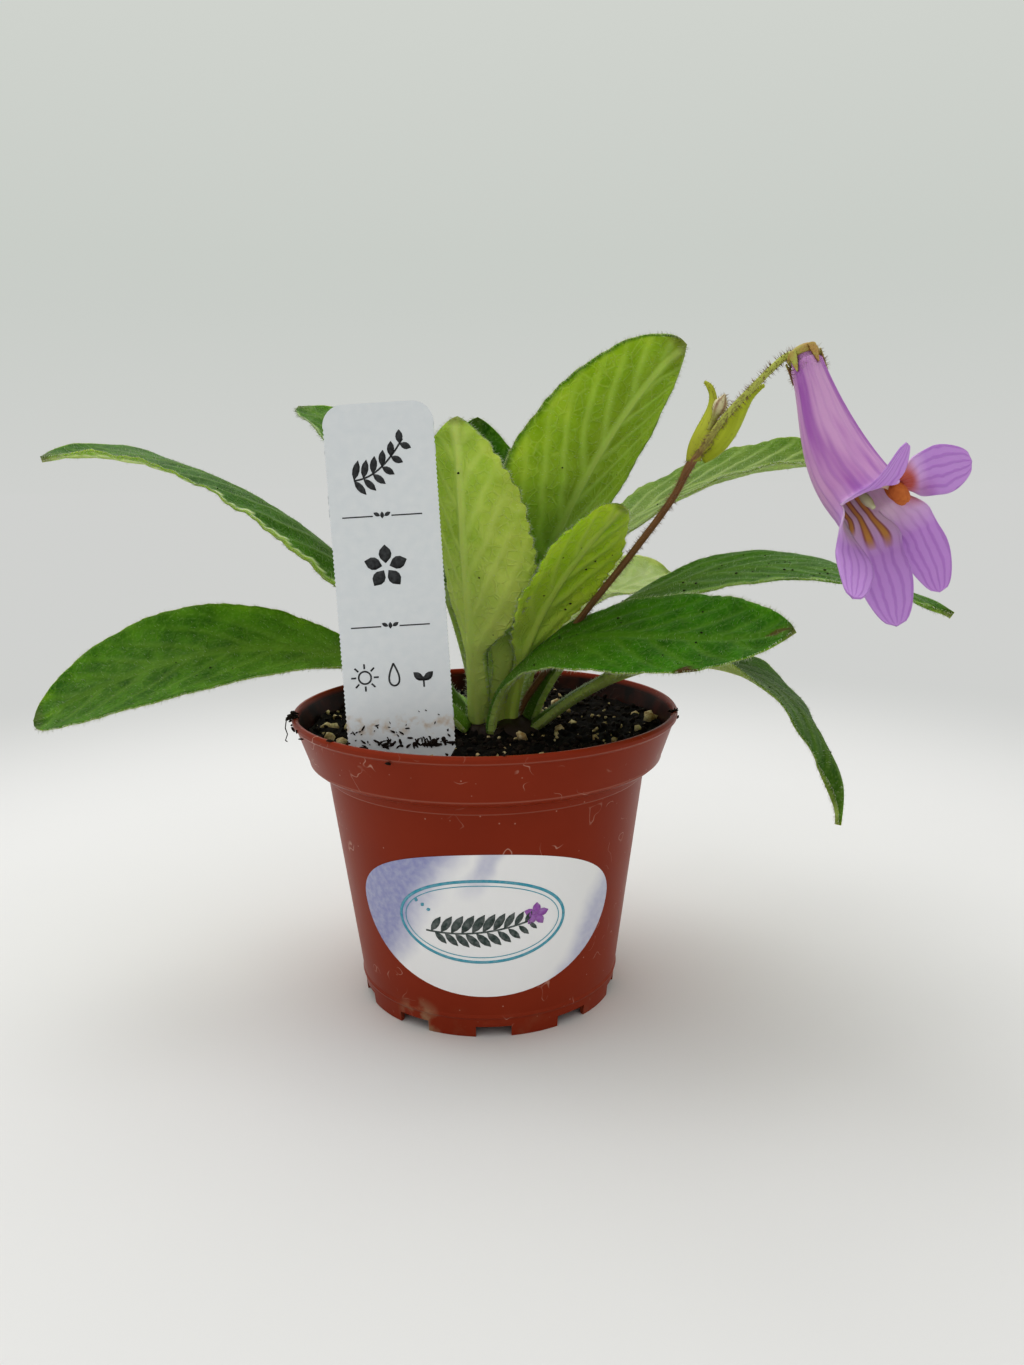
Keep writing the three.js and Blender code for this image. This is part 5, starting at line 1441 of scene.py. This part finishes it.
fading = add_node(tree, "MixShader", {0: faded, 1: sheet, 2: haze})
add_node(tree, "OutputMaterial", {"Surface": fading})
floor.data.materials.append(paper)

world = bpy.data.worlds.new("studio_surround")
world.use_nodes = True
tree = world.node_tree
tree.nodes.clear()
view_way = add_node(tree, "TexCoord").outputs["Generated"]
_, back, up = add_node(tree, "SeparateXYZ", {0: view_way}).outputs
shown = SURROUND_LOW
for low, high, code in ((-0.05, 0.16, SURROUND_MIDDLE), (0.12, 0.38, SURROUND_HIGH)):
    share = add_node(tree, "MapRange", {0: up, 1: low, 2: high})
    shown = add_node(tree, "Mix", {0: share, 6: shown, 7: code}, data_type="RGBA")
overhead = add_node(tree, "MapRange", {0: up, 1: 0.0, 2: 0.95, 3: 0.545, 4: 0.7})
behind = add_node(tree, "MapRange", {0: back, 1: -0.6, 2: 0.8, 4: 0.1})
lit = add_node(tree, "Math", {0: overhead, 1: behind}, operation="ADD")
glow = add_node(tree, "Background", {"Color": (1.0, 1.0, 0.985, 1.0), "Strength": lit})
backdrop = add_node(tree, "Background", {"Color": shown})
seen = add_node(tree, "LightPath").outputs["Is Camera Ray"]
both = add_node(tree, "MixShader", {0: seen, 1: glow, 2: backdrop})
add_node(tree, "OutputWorld", {"Surface": both})
bpy.context.scene.world = world
bpy.context.scene.view_settings.view_transform = "Standard"
bpy.context.scene.view_settings.look = "Medium High Contrast"

lamp = bpy.data.lights.new("overhead_softbox", "AREA")
lamp.energy, lamp.size = 2.9, 0.8
light = bpy.data.objects.new("overhead_softbox", lamp)
bpy.context.scene.collection.objects.link(light)
light.location = (-0.2, 0.25, 1.0)
light.rotation_euler = (Vector((0, 0, 0.08)) - light.location).to_track_quat("-Z", "Y").to_euler()

# The camera's lens, its downward pitch, its small tilt and its place come from the ellipses of
# the pot's rim, collar and foot in the photograph, which is 1365 pixels high.
PHOTO_HEIGHT, FOCAL_PIXELS, SENSOR = 1365, 1100, 36.0
CAMERA_AIM, CAMERA_FAR = Vector((7.24, 0, 84.04)) * MM, 0.29367
camera_data = bpy.data.cameras.new("photo_camera")
camera_data.sensor_width = SENSOR
camera_data.lens = FOCAL_PIXELS / PHOTO_HEIGHT * SENSOR
camera_data.clip_start, camera_data.clip_end = 0.01, 20.0
camera = bpy.data.objects.new("photo_camera", camera_data)
bpy.context.scene.collection.objects.link(camera)
pitch, tilt = math.radians(12.15), math.radians(-0.75)
forward = Vector((0, math.cos(pitch), -math.sin(pitch)))
level_right, level_up = Vector((1, 0, 0)), Vector((0, math.sin(pitch), math.cos(pitch)))
view_right = level_right * math.cos(tilt) + level_up * math.sin(tilt)
view_up = level_up * math.cos(tilt) - level_right * math.sin(tilt)
turn = Matrix((view_right, view_up, -forward)).transposed().to_4x4()
camera.matrix_world = Matrix.Translation(CAMERA_AIM - forward * CAMERA_FAR) @ turn
bpy.context.scene.camera = camera
